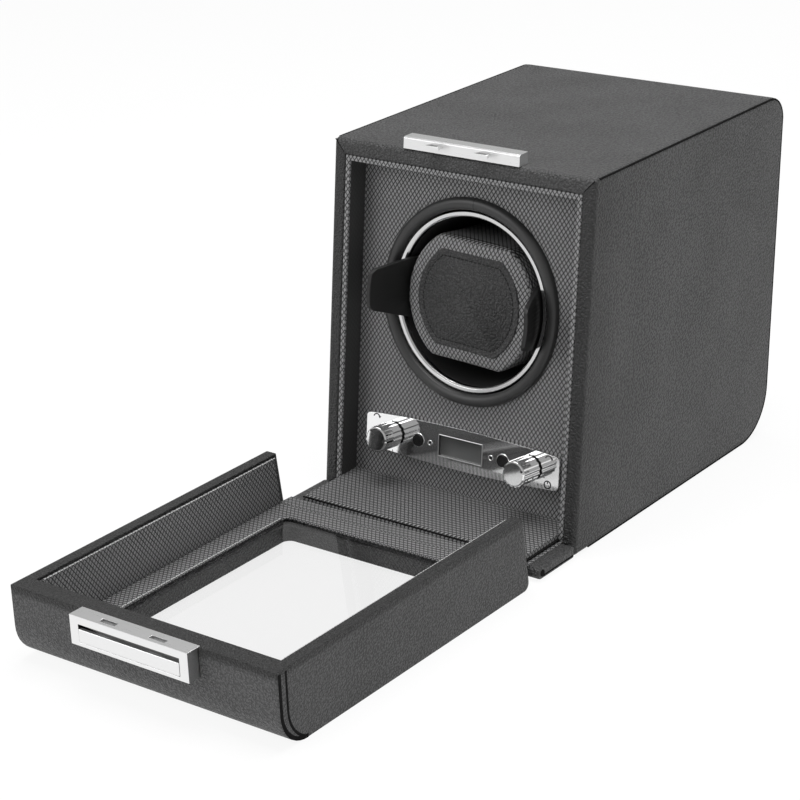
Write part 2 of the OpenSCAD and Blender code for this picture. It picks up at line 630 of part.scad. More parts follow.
module cover_frame() color(leather) difference() {
    across(case_w) polygon(cover_outline());
    translate([-cover_in, far_in, cover_board_t]) cube([2 * cover_in, -far_in, case_h]);
    across(2 * cover_in) polygon([[0, -1], [end_y(-1, board_rest), -1],
        [end_y(cover_board_t + 1, board_rest), cover_board_t + 1], [0, cover_board_t + 1]]);
    window_prism(window_w + 2 * reveal_t, window_l + 2 * reveal_t, window_r + reveal_t, -1, cover_board_t + 1);
    window_prism(window_w + 2 * glass_lap + 2 * fit, window_l + 2 * glass_lap + 2 * fit, 2,
        cover_board_t - glass_t - fit, cover_board_t + 1);
    translate([-latch_w / 2 - fit, far_y - 1, latch_low - fit]) cube([latch_w + 2 * fit, latch_seat + 1 + fit, latch_h + 5]);
}
module cover_liner() color(weave) difference() {
    across(2 * cover_in - 2 * fit) polygon([[far_in + fit, border_top], [far_in + fit, cover_top - liner_drop],
        [end_y(cover_top - liner_drop, board_rest), cover_top - liner_drop], [end_y(border_top, board_rest), border_top]]);
    translate([-cover_in + fit + cover_liner_t, far_in + fit + cover_liner_t, 0])
        cube([2 * (cover_in - fit - cover_liner_t), case_h, case_h]);
}
module cover_border() color(weave) difference() {
    across(2 * cover_in - 2 * fit) polygon([[far_in + fit, cover_board_t], [far_in + fit, border_top],
        [end_y(border_top, board_rest), border_top], [end_y(cover_board_t, board_rest), cover_board_t]]);
    window_prism(window_w + 2 * border_step, window_l + 2 * border_step, window_r, cover_board_t - 1, border_top + 1);
}
module window_reveal() color(leather) difference() {
    window_prism(window_w + 2 * reveal_t - fit, window_l + 2 * reveal_t - fit, window_r + reveal_t, 0, cover_board_t - glass_t - fit);
    window_prism(window_w, window_l, window_r, -1, cover_board_t);
}
module glass_pane() color([0.8, 0.9, 0.9, 0.35])
    window_prism(window_w + 2 * glass_lap, window_l + 2 * glass_lap, 2, cover_board_t - glass_t, cover_board_t);

// Hinge of leather under the gap and of woven cloth over it.
hinge_cloth = 1.2;
module hinge_leather() color(leather) translate([-cover_in + fit, end_y(floor_z, board_rest) + fit, floor_z])
    cube([2 * (cover_in - fit), -tongue_l + 0.3 - end_y(floor_z, board_rest) - fit, hinge_cloth]);
lining_bend = pad_front - 5;
module hinge_lining() color(weave) across(2 * cover_in - 2 * fit) polygon([
    [end_y(border_top, board_rest) + fit, border_top], [lining_bend, border_top - 0.3],
    [pad_front - fit, floor_top - pad_round], [pad_front - fit, tongue_top + fit],
    [pad_front - fit - 1, tongue_top + fit], [lining_bend, border_top - 0.3 - hinge_cloth],
    [end_y(border_top - hinge_cloth, board_rest) + fit, border_top - hinge_cloth]]);

// ---- Latch ----
striker_front = lean_y(case_h);
module striker_plate() color(bright) across(latch_w) polygon([[striker_front, case_h],
    [lean_y(case_h + striker_h - 0.6), case_h + striker_h - 0.6], [lean_y(case_h + striker_h) + 0.6, case_h + striker_h],
    [striker_front + striker_d, case_h + striker_h], [striker_front + striker_d, case_h]]);
module striker_hooks() color(bright) for (side = [-1, 1]) on_front(side * hook_x, 0, hook_s) {
    translate([-hook_w / 2, -hook_l, -hook_t / 2]) cube([hook_w, hook_l, hook_t]);
    translate([hook_w / 2, -hook_l, -hook_t / 2]) cube([hook_nose, 1.2, hook_t]);
}
ledge_z = cover_top - leaf_t - 2 * catch_gap - catch_t;
module latch_plate() color(bright) difference() {
    translate([-latch_w / 2, latch_out, latch_low]) cube([latch_w, latch_proud + latch_seat, latch_h]);
    difference() {
        translate([-pocket_half, latch_out + latch_sheet, latch_low + 1.4])
            cube([2 * pocket_half, latch_proud + latch_seat, latch_h - leaf_t - 1.4]);
        for (side = [-1, 1]) translate([side * pocket_half - 4, latch_out, ledge_z - 0.8]) cube([8, 20, 0.8]);
    }
    translate([-button_half - 0.2, latch_out - 1, button_low - 0.2])
        cube([2 * button_half + 0.4, latch_sheet + 2, button_high - button_low + 0.2 + button_gap]);
    for (side = [-1, 1]) translate([side * hook_x - hook_w / 2 - 0.5, hook_y - 1.1, latch_low + 3])
        cube([hook_w + hook_nose + 1, 2.2, latch_h]);
}
button_half = latch_w / 2 - 4.6;
button_tab = 1.2;
module latch_button() color(bright) {
    translate([-button_half, latch_out - 0.2, button_low]) cube([2 * button_half, 2.4, button_high - button_low]);
    translate([-button_half - button_tab, latch_out + latch_sheet + 0.15, button_low])
        cube([2 * (button_half + button_tab), 0.7, button_high - button_low - 1]);
}
module latch_catch() color(steel) difference() {
    translate([-catch_half, latch_out + latch_sheet + 0.2, ledge_z + catch_gap])
        cube([2 * catch_half, latch_proud + latch_seat - latch_sheet - 0.6, catch_t]);
    for (side = [-1, 1]) translate([side * hook_x - hook_w / 2 - 0.4 - catch_travel, latch_out, ledge_z - 1])
        cube([hook_w + 0.7 + catch_travel, hook_y + 1.2 - latch_out, catch_t + 3]);
}

carcass();
case_wrap();
side_leather(-1);  // side_leather_left
side_leather(1);  // side_leather_right
front_rim();
recess_liner();
face_panel();
drum_gasket();
tongue_board();
floor_pad();
base_felt();
hinge_leather();
hinge_lining();
striker_plate();
striker_hooks();
rear_plate();
posts();
chassis_screws();
bearing_housing();
front_bearing();
rear_bearing();
gear_motor();
control_plate();
display_lens();
display_module();
circuit_board();
press_switches();
status_lights();
encoder(-1);  // encoder_left
encoder(1);  // encoder_right
power_inlet();
drive_belt();
motor_pulley();
drum_cup();
drum_ring();
drum_shaft();
drum_pulley();
shaft_clip();
cuff_core();
cuff_cushion();
cuff_patch();
wing(-1);  // wing_left
wing(1);  // wing_right
knob(-1);  // knob_left
knob(1);  // knob_right
spindle(-1);  // spindle_left
spindle(1);  // spindle_right
button(-1);  // button_left
button(1);  // button_right
cover_frame();
cover_liner();
cover_border();
window_reveal();
glass_pane();
latch_plate();
latch_button();
latch_catch();
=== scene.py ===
"""A watch winder box: a leather case with a turning drum, and a glazed cover lying open in front of it."""

import json
import math
from functools import partialmethod

import bmesh
import bpy
from mathutils import Matrix, Vector


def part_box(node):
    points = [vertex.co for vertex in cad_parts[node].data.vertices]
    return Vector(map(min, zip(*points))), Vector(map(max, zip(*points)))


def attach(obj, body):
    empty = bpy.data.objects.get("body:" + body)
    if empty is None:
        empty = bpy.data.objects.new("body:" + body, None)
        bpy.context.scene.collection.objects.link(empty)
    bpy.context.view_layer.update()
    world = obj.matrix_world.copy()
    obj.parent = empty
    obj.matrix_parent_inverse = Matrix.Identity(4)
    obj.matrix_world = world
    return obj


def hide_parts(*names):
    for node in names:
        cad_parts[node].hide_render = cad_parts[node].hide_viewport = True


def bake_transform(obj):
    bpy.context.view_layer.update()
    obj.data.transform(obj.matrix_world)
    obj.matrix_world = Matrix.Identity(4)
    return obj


bl_info = {
    "name": "Watch winder box",
    "version": (1, 0, 0),
    "blender": (4, 5, 0),
    "location": "View3D > Sidebar > Winder",
    "description": "Dresses a watch winder box in leather, woven cloth and bright metal",
    "category": "Object",
}

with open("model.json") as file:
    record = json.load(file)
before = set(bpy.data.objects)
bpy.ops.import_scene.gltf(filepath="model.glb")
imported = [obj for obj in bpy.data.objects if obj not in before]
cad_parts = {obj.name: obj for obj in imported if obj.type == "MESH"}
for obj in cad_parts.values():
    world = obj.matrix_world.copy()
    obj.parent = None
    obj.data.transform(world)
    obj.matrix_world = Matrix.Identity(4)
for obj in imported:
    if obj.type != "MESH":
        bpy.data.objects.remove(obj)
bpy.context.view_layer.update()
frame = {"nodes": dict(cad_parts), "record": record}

# Lengths are in metres. X runs to the right, Y to the back and Z up. The case's front leans back: off is a
# depth behind it, and s a height up along it.
LEAN = math.radians(7.24)
BACK_LEAN = math.radians(4.94)
CUFF_TURN = math.radians(2.5)
CASE_HALF = 0.07  # half the case's width
CASE_TOP = 0.1667
CASE_FOOT = 0.1706  # where the line of the back meets the ground
LOW_ROUND = 0.025
HIGH_ROUND = 0.012
DRUM_S = 0.101
PLATE_S = 0.0326
PLATE_OFF = 0.0098
KNOB_X = 0.0381
SIDES = (-1, 1)
NEAR = 1e-5
PRESSED = 0.12  # the share of its width that a pressed cord keeps
THREAD_LENGTH = 0.0011
THREAD_WIDTH = 0.0004
UPRIGHT = (math.pi / 2, 0, 0)


# ---- Placing and shaping ----


def on_front(x=0.0, off=0.0, s=0.0):
    """The place at x, off behind the leaning front and s up along it."""
    return Matrix.Rotation(-LEAN, 4, "X") @ Matrix.Translation((x, off, s))


def on_cuff():
    """The place of the cuff's middle at the front, turned as the cuff lies in the drum."""
    return on_front(s=DRUM_S) @ Matrix.Rotation(CUFF_TURN, 4, "Y")


def start(kind, name, **settings):
    """Adds one primitive, with nothing else selected."""
    bpy.ops.object.select_all(action="DESELECT")
    getattr(bpy.ops.mesh, f"primitive_{kind}_add")(**settings)
    piece = bpy.context.active_object
    piece.name = piece.data.name = name
    bpy.ops.object.transform_apply(location=True, rotation=True, scale=True)
    return piece


def made_of(data, name):
    """A new object in the scene that holds the data."""
    piece = bpy.data.objects.new(name, data)
    bpy.context.scene.collection.objects.link(piece)
    return piece


def only(piece):
    """Makes the piece the one that object operators act on."""
    bpy.ops.object.select_all(action="DESELECT")
    piece.select_set(True)
    bpy.context.view_layer.objects.active = piece


def pick(piece, kind="VERT", test=lambda part: True):
    """Enters edit mode with just the elements of a kind that pass the test selected, or with all of it."""
    if bpy.context.mode != "EDIT_MESH":
        only(piece)
        bpy.ops.object.mode_set(mode="EDIT")
    bpy.ops.mesh.select_mode(type=kind)
    bpy.ops.mesh.select_all(action="DESELECT")
    mesh = bmesh.from_edit_mesh(piece.data)
    mesh.normal_update()
    parts = {"VERT": mesh.verts, "EDGE": mesh.edges, "FACE": mesh.faces}[kind]
    for part in parts:
        if test(part):
            part.select_set(True)
    mesh.select_flush_mode()
    bmesh.update_edit_mesh(piece.data)


def done():
    """Leaves edit mode."""
    bpy.ops.object.mode_set(mode="OBJECT")


def middle(edge):
    """The middle of an edge."""
    return (edge.verts[0].co + edge.verts[1].co) / 2


def bevel(width, segments):
    """Rounds the selected edges."""
    bpy.ops.mesh.bevel(offset=width, segments=segments, affect="EDGES")


def around(radius, degrees):
    """The point of a circle at an angle."""
    turn = math.radians(degrees)
    return radius * math.cos(turn), radius * math.sin(turn)


def runs_across(edge):
    """Whether an edge runs along X."""
    return abs((edge.verts[1].co - edge.verts[0].co).normalized().x) > 0.9


def sharp(edge, least):
    """Whether two faces meet in an edge at more than an angle in radians."""
    return len(edge.link_faces) == 2 and edge.calc_face_angle(0) > least


def modify(piece, kind, **settings):
    """Adds a modifier with its settings and applies it."""
    only(piece)
    modifier = piece.modifiers.new(kind.title(), kind)
    for key, value in settings.items():
        setattr(modifier, key, value)
    bpy.ops.object.modifier_apply(modifier=modifier.name)


def smooth(piece, angle=35):
    """Smooths the piece where its faces meet at less than an angle in degrees."""
    only(piece)
    bpy.ops.object.shade_smooth_by_angle(angle=math.radians(angle))


def round_edges(piece, width, segments=3, angle=35):
    """Rounds every edge sharper than an angle in degrees."""
    modify(piece, "BEVEL", width=width, segments=segments, limit_method="ANGLE",
           angle_limit=math.radians(angle), use_clamp_overlap=True)
    smooth(piece)
    modify(piece, "WEIGHTED_NORMAL", keep_sharp=True)


def block(name, size, edge, place=(0, 0, 0), segments=2):
    """A small block with rounded edges."""
    piece = start("cube", name, size=1.0, location=place, scale=size)
    round_edges(piece, edge, segments)
    return piece


def rod(name, radius, near, far, vertices):
    """A cylinder along Y, from near to far."""
    return start("cylinder", name, vertices=vertices, radius=radius, depth=far - near,
                 location=(0, (near + far) / 2, 0), rotation=UPRIGHT)


def outward(piece):
    """Merges doubles and turns every face outwards."""
    pick(piece)
    bpy.ops.mesh.remove_doubles(threshold=1e-6)
    bpy.ops.mesh.normals_make_consistent(inside=False)
    done()


def softened(node, name, width, segments, angle=35):
    """A copy of a CAD node, merged, with its hard edges rounded."""
    piece = made_of(frame["nodes"][node].data.copy(), name)
    pick(piece)
    bpy.ops.mesh.remove_doubles(threshold=1e-6)
    bpy.ops.mesh.dissolve_limited(angle_limit=math.radians(0.5))
    done()
    round_edges(piece, width, segments, angle)
    return piece


def wire(name, points):
    """A closed line through points, as a mesh."""
    mesh = bpy.data.meshes.new(name)
    mesh.from_pydata(points, [(i, (i + 1) % len(points)) for i in range(len(points))], [])
    return made_of(mesh, name)


def turned(name, profile, steps):
    """A ring spun from a closed (radius, depth) profile, with its axis along Y through the origin."""
    piece = wire(name, [(r, y, 0.0) for r, y in profile])
    pick(piece)
    bpy.ops.mesh.spin(steps=steps, angle=2 * math.pi, center=(0, 0, 0), axis=(0, 1, 0))
    done()
    outward(piece)
    return piece


def cord(name, points, radius, pressed=False):
    """A cord through points, round or pressed flat where it starts in X."""
    curve = bpy.data.curves.new(name, "CURVE")
    curve.dimensions, curve.use_fill_caps = "3D", True
    curve.bevel_depth, curve.bevel_resolution = radius, 2
    line = curve.splines.new("POLY")
    line.points.add(len(points) - 1)
    for point, place in zip(line.points, points):
        point.co = (*place, 1)
    piece = made_of(curve, name)
    only(piece)
    bpy.ops.object.convert(target="MESH")
    if pressed:
        pick(piece)
        bpy.ops.transform.resize(value=(PRESSED, 1, 1), center_override=(points[0][0], 0, 0))
        done()
    smooth(piece, 60)
    return piece


def side_cord(name, x, line, radius, pressed=True):
    """A cord at x, through (y, z) points."""
    return cord(name, [(x, y, z) for y, z in line], radius, pressed)


def dashes(name, place, step, count):
    """A row of short threads from a place, each a step from the last."""
    size = [THREAD_LENGTH if abs(run) > 0 else THREAD_WIDTH for run in step]
    row = block(name, size, 0.0001, place, 1)
    modify(row, "ARRAY", count=count, use_relative_offset=False, use_constant_offset=True,
           constant_offset_displace=step)
    return row


def joined(name, pieces):
    """Several pieces made one object."""
    only(pieces[0])
    for piece in pieces:
        piece.select_set(True)
    bpy.ops.object.join()
    pieces[0].name = pieces[0].data.name = name
    return pieces[0]


def placed(piece, matrix):
    """Moves a piece's mesh, so that its object stays at the origin."""
    piece.data.transform(matrix)
    piece.data.update()
    return piece


def finish(piece, body, slot, *nodes, look=None):
    """Gives a piece its body and the look of its slot or another look, and hides the CAD nodes it stands for.
    """
    piece.data.materials.clear()
    piece.data.materials.append(LOOKS[look or slot])
    for face in piece.data.polygons:
        face.material_index = 0
    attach(piece, body)
    if nodes:
        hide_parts(*nodes)
    return piece


def dressed(node, name, body, slot, width, segments=3, angle=35, look=None):
    """A CAD node's copy with soft edges, finished and in the node's stead."""
    return finish(softened(node, name, width, segments, angle), body, slot, node, look=look)


# ---- Materials ----


class Sock:
    """A socket that Python's operators act on, each one adding a Math node."""

    def __init__(self, look, socket):
        self.look, self.socket = look, socket

    def math(self, operation, *values):
        return self.look.node("ShaderNodeMath", {"operation": operation}, self, *values)

    __add__ = __radd__ = partialmethod(math, "ADD")
    __mul__ = __rmul__ = partialmethod(math, "MULTIPLY")
    __sub__ = partialmethod(math, "SUBTRACT")
    __truediv__ = partialmethod(math, "DIVIDE")
    __lt__ = partialmethod(math, "LESS_THAN")
    __gt__ = partialmethod(math, "GREATER_THAN")
    __abs__ = partialmethod(math, "ABSOLUTE")
    fract = partialmethod(math, "FRACT")
    least = partialmethod(math, "MINIMUM")
    most = partialmethod(math, "MAXIMUM")

    def __rsub__(self, other):
        return self.look.node("ShaderNodeMath", {"operation": "SUBTRACT"}, other, self)

    def ramp(self, low, high):
        """0 below low, 1 above high, eased between."""
        settings = {"interpolation_type": "SMOOTHSTEP"}
        return self.look.node("ShaderNodeMapRange", settings, self, low, high, 0.0, 1.0)


class Nodes:
    """A tree of shader nodes."""

    def __init__(self, tree):
        self.tree = tree

    def node(self, kind, settings, *values, out=0, **named):
        """Adds a node: its settings first, then the values or links of its sockets."""
        made = self.tree.nodes.new(kind)
        for key, value in settings.items():
            setattr(made, key, value)
        for key, value in [*enumerate(values), *named.items()]:
            if value is None:
                continue
            socket = made.inputs[key]
            if isinstance(value, Sock):
                self.tree.links.new(value.socket, socket)
            else:
                socket.default_value = value
        return Sock(self, made.outputs[out])

    def rays(self, *kinds):
        """Whether a ray is of each kind."""
        made = self.node("ShaderNodeLightPath", {})
        return [Sock(self, made.socket.node.outputs[kind]) for kind in kinds]

    def show(self, output, factor, one, two):
        """Mixes two shaders and gives the mix to the output."""
        mix = self.node("ShaderNodeMixShader", {}, factor, one, two)
        self.tree.links.new(mix.socket, self.tree.nodes[output].inputs["Surface"])


class Look(Nodes):
    """One material, its Principled shader and the nodes that feed it."""

    def __init__(self, name, **constants):
        self.material = bpy.data.materials.new(name)
        self.material.use_nodes = True
        super().__init__(self.material.node_tree)
        self.shader = self.tree.nodes["Principled BSDF"]
        for key, value in constants.items():
            self.shader.inputs[key.replace("_", " ").title().replace("Ior", "IOR")].default_value = value

    def place(self):
        """The object's own coordinates, in metres."""
        return self.node("ShaderNodeTexCoord", {}, out="Object")

    def noise(self, place, scale, **settings):
        """Soft noise from 0 to 1."""
        return self.node("ShaderNodeTexNoise", {}, place, Scale=scale, **settings)

    def parts(self, vector):
        """The three numbers of a vector."""
        made = self.node("ShaderNodeSeparateXYZ", {}, vector)
        return [Sock(self, out) for out in made.socket.node.outputs]

    def normal(self):
        """The three numbers of the surface's direction."""
        return self.parts(self.node("ShaderNodeTexCoord", {}, out="Normal"))

    def blend(self, amount, one, two):
        """A colour between two."""
        other_kinds = [None] * 5
        return self.node("ShaderNodeMix", {"data_type": "RGBA"}, amount, *other_kinds, one, two, out=2)

    def feed(self, name, value):
        """Links a value to the shader."""
        self.tree.links.new(value.socket, self.shader.inputs[name])

    def finished(self, colour, rough=None, height=None, distance=0.0, strength=1.0):
        """Feeds the shader its colour, roughness and relief, distance metres high, and gives the material."""
        self.feed("Base Color", colour)
        if rough is not None:
            self.feed("Roughness", rough)
        if height is not None:
            relief = self.node("ShaderNodeBump", {}, Strength=strength, Distance=distance, Height=height)
            self.feed("Normal", relief)
        return self.material


def grey(value, tint=(1.0, 1.0, 1.0)):
    """A nearly grey colour."""
    return (value * tint[0], value * tint[1], value * tint[2], 1.0)


def leaning_depth(y, z):
    """Depth behind the leaning front, of a place or of the surface."""
    return y * math.cos(LEAN) - z * math.sin(LEAN)


def leather(name, shade, seams=None, dark=0.25):
    """Pebbled leather, with an optional mask from the coordinates that paints shade, where the leather is
    dark times as bright.
    """
    look = Look(name, roughness=0.5, specular_ior_level=0.5)
    place = look.place()
    x, y, z = look.parts(place)
    pebble = look.node("ShaderNodeTexVoronoi", {"feature": "SMOOTH_F1"}, place,
                       Scale=950.0, Smoothness=0.35)
    fine = look.noise(place, 1500.0, Detail=3.0, Roughness=0.65)
    broad = look.noise(place, 30.0, Detail=3.0, Roughness=0.55)
    grain = 1.0 - pebble.ramp(0.25, 0.75)
    height = grain + fine * 0.8
    tone = broad.ramp(0.3, 0.7) * 0.3 + grain * 0.7
    colour = look.blend(tone, grey(shade * 0.52), grey(shade * 1.3, (1.0, 1.0, 1.015)))
    rough = 0.58 - grain * 0.12 - broad * 0.05
    if seams:
        # The mask paints shade: a dark colour and a lower relief where it is 1.
        crease = seams(x, y, z)
        colour = look.blend(crease, colour, grey(shade * dark))
        height = height - crease * 3.0
    return look.finished(colour, rough, height, 0.00045)


def woven(name, light, dark, seams=None, fill=0.007):
    """Cloth embossed with upright rhombi that lie in whichever face they are on, plain in its seams."""
    look = Look(name, roughness=0.62, specular_ior_level=0.35)
    place = look.place()
    x, y, z = look.parts(place)
    nx, ny, nz = (abs(n) for n in look.normal())
    side = nx > ny.most(nz)
    flat = nz > ny.most(nx)
    u = x + side * (y - x)
    v = z + flat * (y - z)
    sizes = bpy.context.scene.winder_sizes
    a = u / sizes.cell_width
    b = v / sizes.cell_height
    one = abs((a + b).fract() - 0.5)
    two = abs((a - b).fract() - 0.5)
    # On faces that look up, one family of dark lines is widened: painted shade of the cells' relief under
    # light from above.
    edge = (0.5 - one).least((0.5 - two) / (1.0 + flat * 1.3))
    cell = edge.ramp(0.03, 0.2)
    thread = look.node("ShaderNodeTexWave", {"bands_direction": "DIAGONAL"}, place,
                       Scale=900.0, Distortion=1.0)
    fleck = look.noise(place, 1900.0, Detail=3.0, Roughness=0.7)
    patchy = look.noise(place, 300.0, Detail=2.0)
    tone = cell * (0.72 + fleck * 0.35 + patchy * 0.15)
    height = cell + fleck * 0.3 + thread * 0.1
    colour = look.blend(tone, grey(dark), grey(light, (1.0, 1.0, 1.01)))
    if seams:
        crease = seams(x, y, z)
        colour = look.blend(crease, colour, grey(fill))
        height = height * (1.0 - crease) - crease * 2.5
    return look.finished(colour, 0.72 - cell * 0.16, height, 0.00022, 0.9)


def metal(name, shade, rough, brushed=0.0):
    """Bright metal with faint handling marks, or fine brushing along X."""
    look = Look(name, metallic=1.0)
    place = look.place()
    scale = look.node("ShaderNodeMapping", {}, place, Scale=(1.0, 40.0, 40.0)) if brushed else place
    marks = look.noise(scale, 120.0, Detail=4.0, Roughness=0.6)
    colour = look.blend(marks, grey(shade * 0.95), grey(shade))
    rough = rough + (marks - 0.5) * (0.06 + brushed)
    return look.finished(colour, rough, marks, 0.00001 + brushed * 0.00004, 0.3)


def plastic(name, shade, rough, grain=0.00002, ribs=None, lift=1.0):
    """Moulded plastic, with an optional mask of lines that are lift times as bright: a sunken dark join where
    lift is below 1, and raised ribs with a painted highlight where it is above.
    """
    look = Look(name, specular_ior_level=0.45)
    place = look.place()
    x, y, z = look.parts(place)
    speck = look.noise(place, 1500.0, Detail=2.0)
    broad = look.noise(place, 60.0, Detail=3.0)
    colour = look.blend(broad, grey(shade * 0.85), grey(shade * 1.15))
    height = speck
    if ribs:
        mask = ribs(x, y, z)
        colour = look.blend(mask, colour, grey(shade * lift))
        height = height + mask * 8.0 * math.copysign(1.0, lift - 1.0)
    return look.finished(colour, rough + (broad - 0.5) * 0.12, height, grain, 0.6)


def shadow(name):
    """The dark inside of a crease or groove."""
    look = Look(name, roughness=1.0, specular_ior_level=0.0)
    speck = look.noise(look.place(), 300.0)
    return look.finished(look.blend(speck, grey(0.006), grey(0.018)))


def timber(name):
    """Pale board with its grain along X."""
    look = Look(name, roughness=0.7)
    grain = look.node("ShaderNodeMapping", {}, look.place(), Scale=(4.0, 60.0, 60.0))
    rings = look.noise(grain, 6.0, Detail=6.0, Distortion=1.2)
    colour = look.blend(rings, (0.22, 0.14, 0.08, 1), (0.5, 0.36, 0.22, 1))
    return look.finished(colour, None, rings, 0.0001, 0.4)


def felt(name):
    """Short dark felt."""
    look = Look(name, roughness=0.95, specular_ior_level=0.1)
    fuzz = look.noise(look.place(), 1400.0, Detail=5.0, Roughness=0.8)
    return look.finished(look.blend(fuzz, grey(0.01), grey(0.03)), None, fuzz, 0.0003, 0.8)


def circuit(name):
    """Green board with paler tracks."""
    look = Look(name, roughness=0.4)
    x = look.parts(look.place())[0]
    lane = abs((x * 400.0).fract() - 0.5) < 0.12
    return look.finished(look.blend(lane, (0.01, 0.07, 0.03, 1), (0.03, 0.16, 0.06, 1)))


def display(name):
    """A grey display that is off, with painted shade: darker at its top and its left, where the sunk display
    lies in shade, and a little paler to its foot.
    """
    look = Look(name, roughness=0.12, coat_weight=0.6, coat_roughness=0.05)
    x, _, z = look.parts(look.place())
    # Painted shade: darker towards the top and the left of the sunk display.
    foot = (1.0 - z.ramp(0.026, 0.040)) * (0.3 + x.ramp(-0.0125, -0.004) * 0.7)
    speck = look.noise(look.place(), 3000.0, Detail=1.0)
    tone = foot * 0.8 + speck * 0.2
    return look.finished(look.blend(tone, grey(0.045), grey(0.125, (0.98, 1.0, 0.99))))


def pane(name):
    """Clear glass as a thin sheet: it shows what is behind, and mirrors more at a glance."""
    look = Look(name, base_color=grey(1.0), metallic=1.0, roughness=0.01)
    clear = look.node("ShaderNodeBsdfTransparent", {}, grey(0.96))
    gleam = look.node("ShaderNodeFresnel", {}, 1.45)
    inner = look.node("ShaderNodeNewGeometry", {}, out="Backfacing")
    look.show("Material Output", gleam * (1.0 - inner), clear, Sock(look, look.shader.outputs[0]))
    return look.material


# Masks made from the object's coordinates: 1 where a seam, painted shade, or a rib with its painted highlight
# is, and 0 elsewhere.


def case_seams(x, y, z):
    """Painted shade: the dark edge of the rim, shade that fades back along the sides, and a dark line in each
    side's foot crease.
    """
    depth = leaning_depth(y, z)
    corner = (abs(x) - CASE_HALF) - (z - CASE_TOP)
    rim = (1.0 - depth.ramp(0.0005, 0.0022)) * 0.78
    band = (1.0 - depth.ramp(0.001, 0.028)) * 0.65 * (abs(x) > 0.0665)
    foot = (abs(z - 0.0026) < 0.0004) * (abs(x) > 0.069)
    return (rim.most(band) * (corner > 0.0)).most(foot)


def cover_rim(x, y, z):
    """Painted shade: darker leather over the cover's rim, and shade over all but its far face, which is left
    lit.
    """
    return (z.ramp(0.0298, 0.0332) * 0.95).most((y > -0.1985) * 0.42)


def roll_join(x, y, z):
    """The join in the ring of leather, at its top."""
    return (abs(x - 0.0012) < 0.00025) * (z > 0.13)


def cuff_seam(x, y, z):
    """The seam behind the cushion's front border."""
    return abs(leaning_depth(y, z) - 0.0145) < 0.00035


def liner_inside(x, y, z):
    """The lining behind its woven front strip."""
    return leaning_depth(y, z) > 0.0013


def wing_ribs(x, y, z):
    """Three upright ribs on the outside of each wing, with a dot above each: raised, and with a painted
    highlight.
    """
    depth = leaning_depth(y, z)
    high = y * math.sin(LEAN) + z * math.cos(LEAN) - DRUM_S
    s = x * math.sin(CUFF_TURN) + high * math.cos(CUFF_TURN)
    right = x.look.normal()[0]
    mask = None
    for at in (0.0009, 0.0059, 0.0106):
        line = (abs(depth - at) < 0.0002) * (abs(s + 0.0037) < 0.0063)
        dot = ((depth - at) * (depth - at) + (s - 0.0052) * (s - 0.0052)) < 2.0e-7
        mask = line.most(dot) if mask is None else mask.most(line).most(dot)
    return mask * ((right * x) > 0.0)


LOOKS = {}


def make_looks():
    """Makes every finish once."""
    tone = bpy.context.scene.winder_finish
    LOOKS.update(
        grained_leather=leather("pebbled_leather", tone.leather),
        # The case's leather carries painted shade on its rim, along its sides and in its foot creases.
        case_leather=leather("case_leather", tone.leather, case_seams),
        roll_leather=plastic("roll_leather", tone.leather * 0.7, 0.4, 0.00004, roll_join, 0.2),
        # The cover's leather is lighter throughout, with painted shade on its rim and on all but its far
        # face.
        cover_leather=leather("cover_leather", tone.leather * 1.6, cover_rim, dark=0.1),
        dark_leather=leather("dark_leather", tone.leather * 0.45),
        patch_leather=leather("patch_leather", tone.leather * 0.9),
        woven_cloth=woven("rhombus_weave", tone.cloth, 0.018),
        # A darker copy of the cloth: painted shade on the cover's inner walls.
        wall_weave=woven("wall_weave", tone.cloth * 0.7, 0.012),
        cuff_weave=woven("cuff_weave", tone.cloth * 1.05, 0.018, cuff_seam),
        liner_weave=woven("liner_weave", tone.cloth, 0.018, liner_inside, fill=0.042),
        chrome_trim=metal("bright_chrome", 0.88, 0.06),
        satin_plate=metal("satin_silver", 0.86, 0.3, brushed=0.1),
        ring=metal("ring_silver", 0.68, 0.2),
        bearing_steel=metal("plain_steel", 0.55, 0.35),
        sheet_aluminium=metal("sheet_aluminium", 0.7, 0.4, brushed=0.15),
        black_plastic=plastic("black_plastic", 0.012, 0.34),
        # The wing's ribs are five times as bright: painted highlight.
        wing=plastic("wing_plastic", 0.008, 0.5, ribs=wing_ribs, lift=5.0),
        cup=plastic("cup_plastic", 0.045, 0.5),
        # Painted shade on the striker hooks' tops.
        dull_metal=metal("dull_metal", 0.16, 0.5),
        # Painted half-shade in the gap above the latch button.
        slot_grey=plastic("slot_grey", 0.16, 0.5),
        button=plastic("button_black", 0.012, 0.16),
        light_lens=plastic("light_lens", 0.02, 0.15),
        belt_rubber=plastic("belt_rubber", 0.02, 0.7),
        core_foam=plastic("core_foam", 0.1, 0.9, grain=0.0003),
        ink=plastic("dark_print", 0.015, 0.5),
        thread=plastic("dark_thread", 0.006, 0.8, grain=0.00005),
        pale_thread=plastic("pale_thread", 0.5, 0.7, grain=0.00005),
        # Painted shadow: the look of the dark cords in the creases, folds and gaps.
        crease=shadow("crease_shadow"),
        board_wood=timber("pale_board"),
        felt=felt("dark_felt"),
        circuit_green=circuit("circuit_green"),
        display_glass=display("grey_display"),
        clear_glass=pane("clear_pane"),
    )


# ---- Sizes and colours that a user may change ----


LENGTH = {"subtype": "DISTANCE", "unit": "LENGTH"}
SHADE = {"subtype": "FACTOR"}


def setting(kind, name, description, default, low, high):
    """A number of a kind that a user may change."""
    return bpy.props.FloatProperty(name=name, description=description, default=default,
                                   min=low, max=high, **kind)


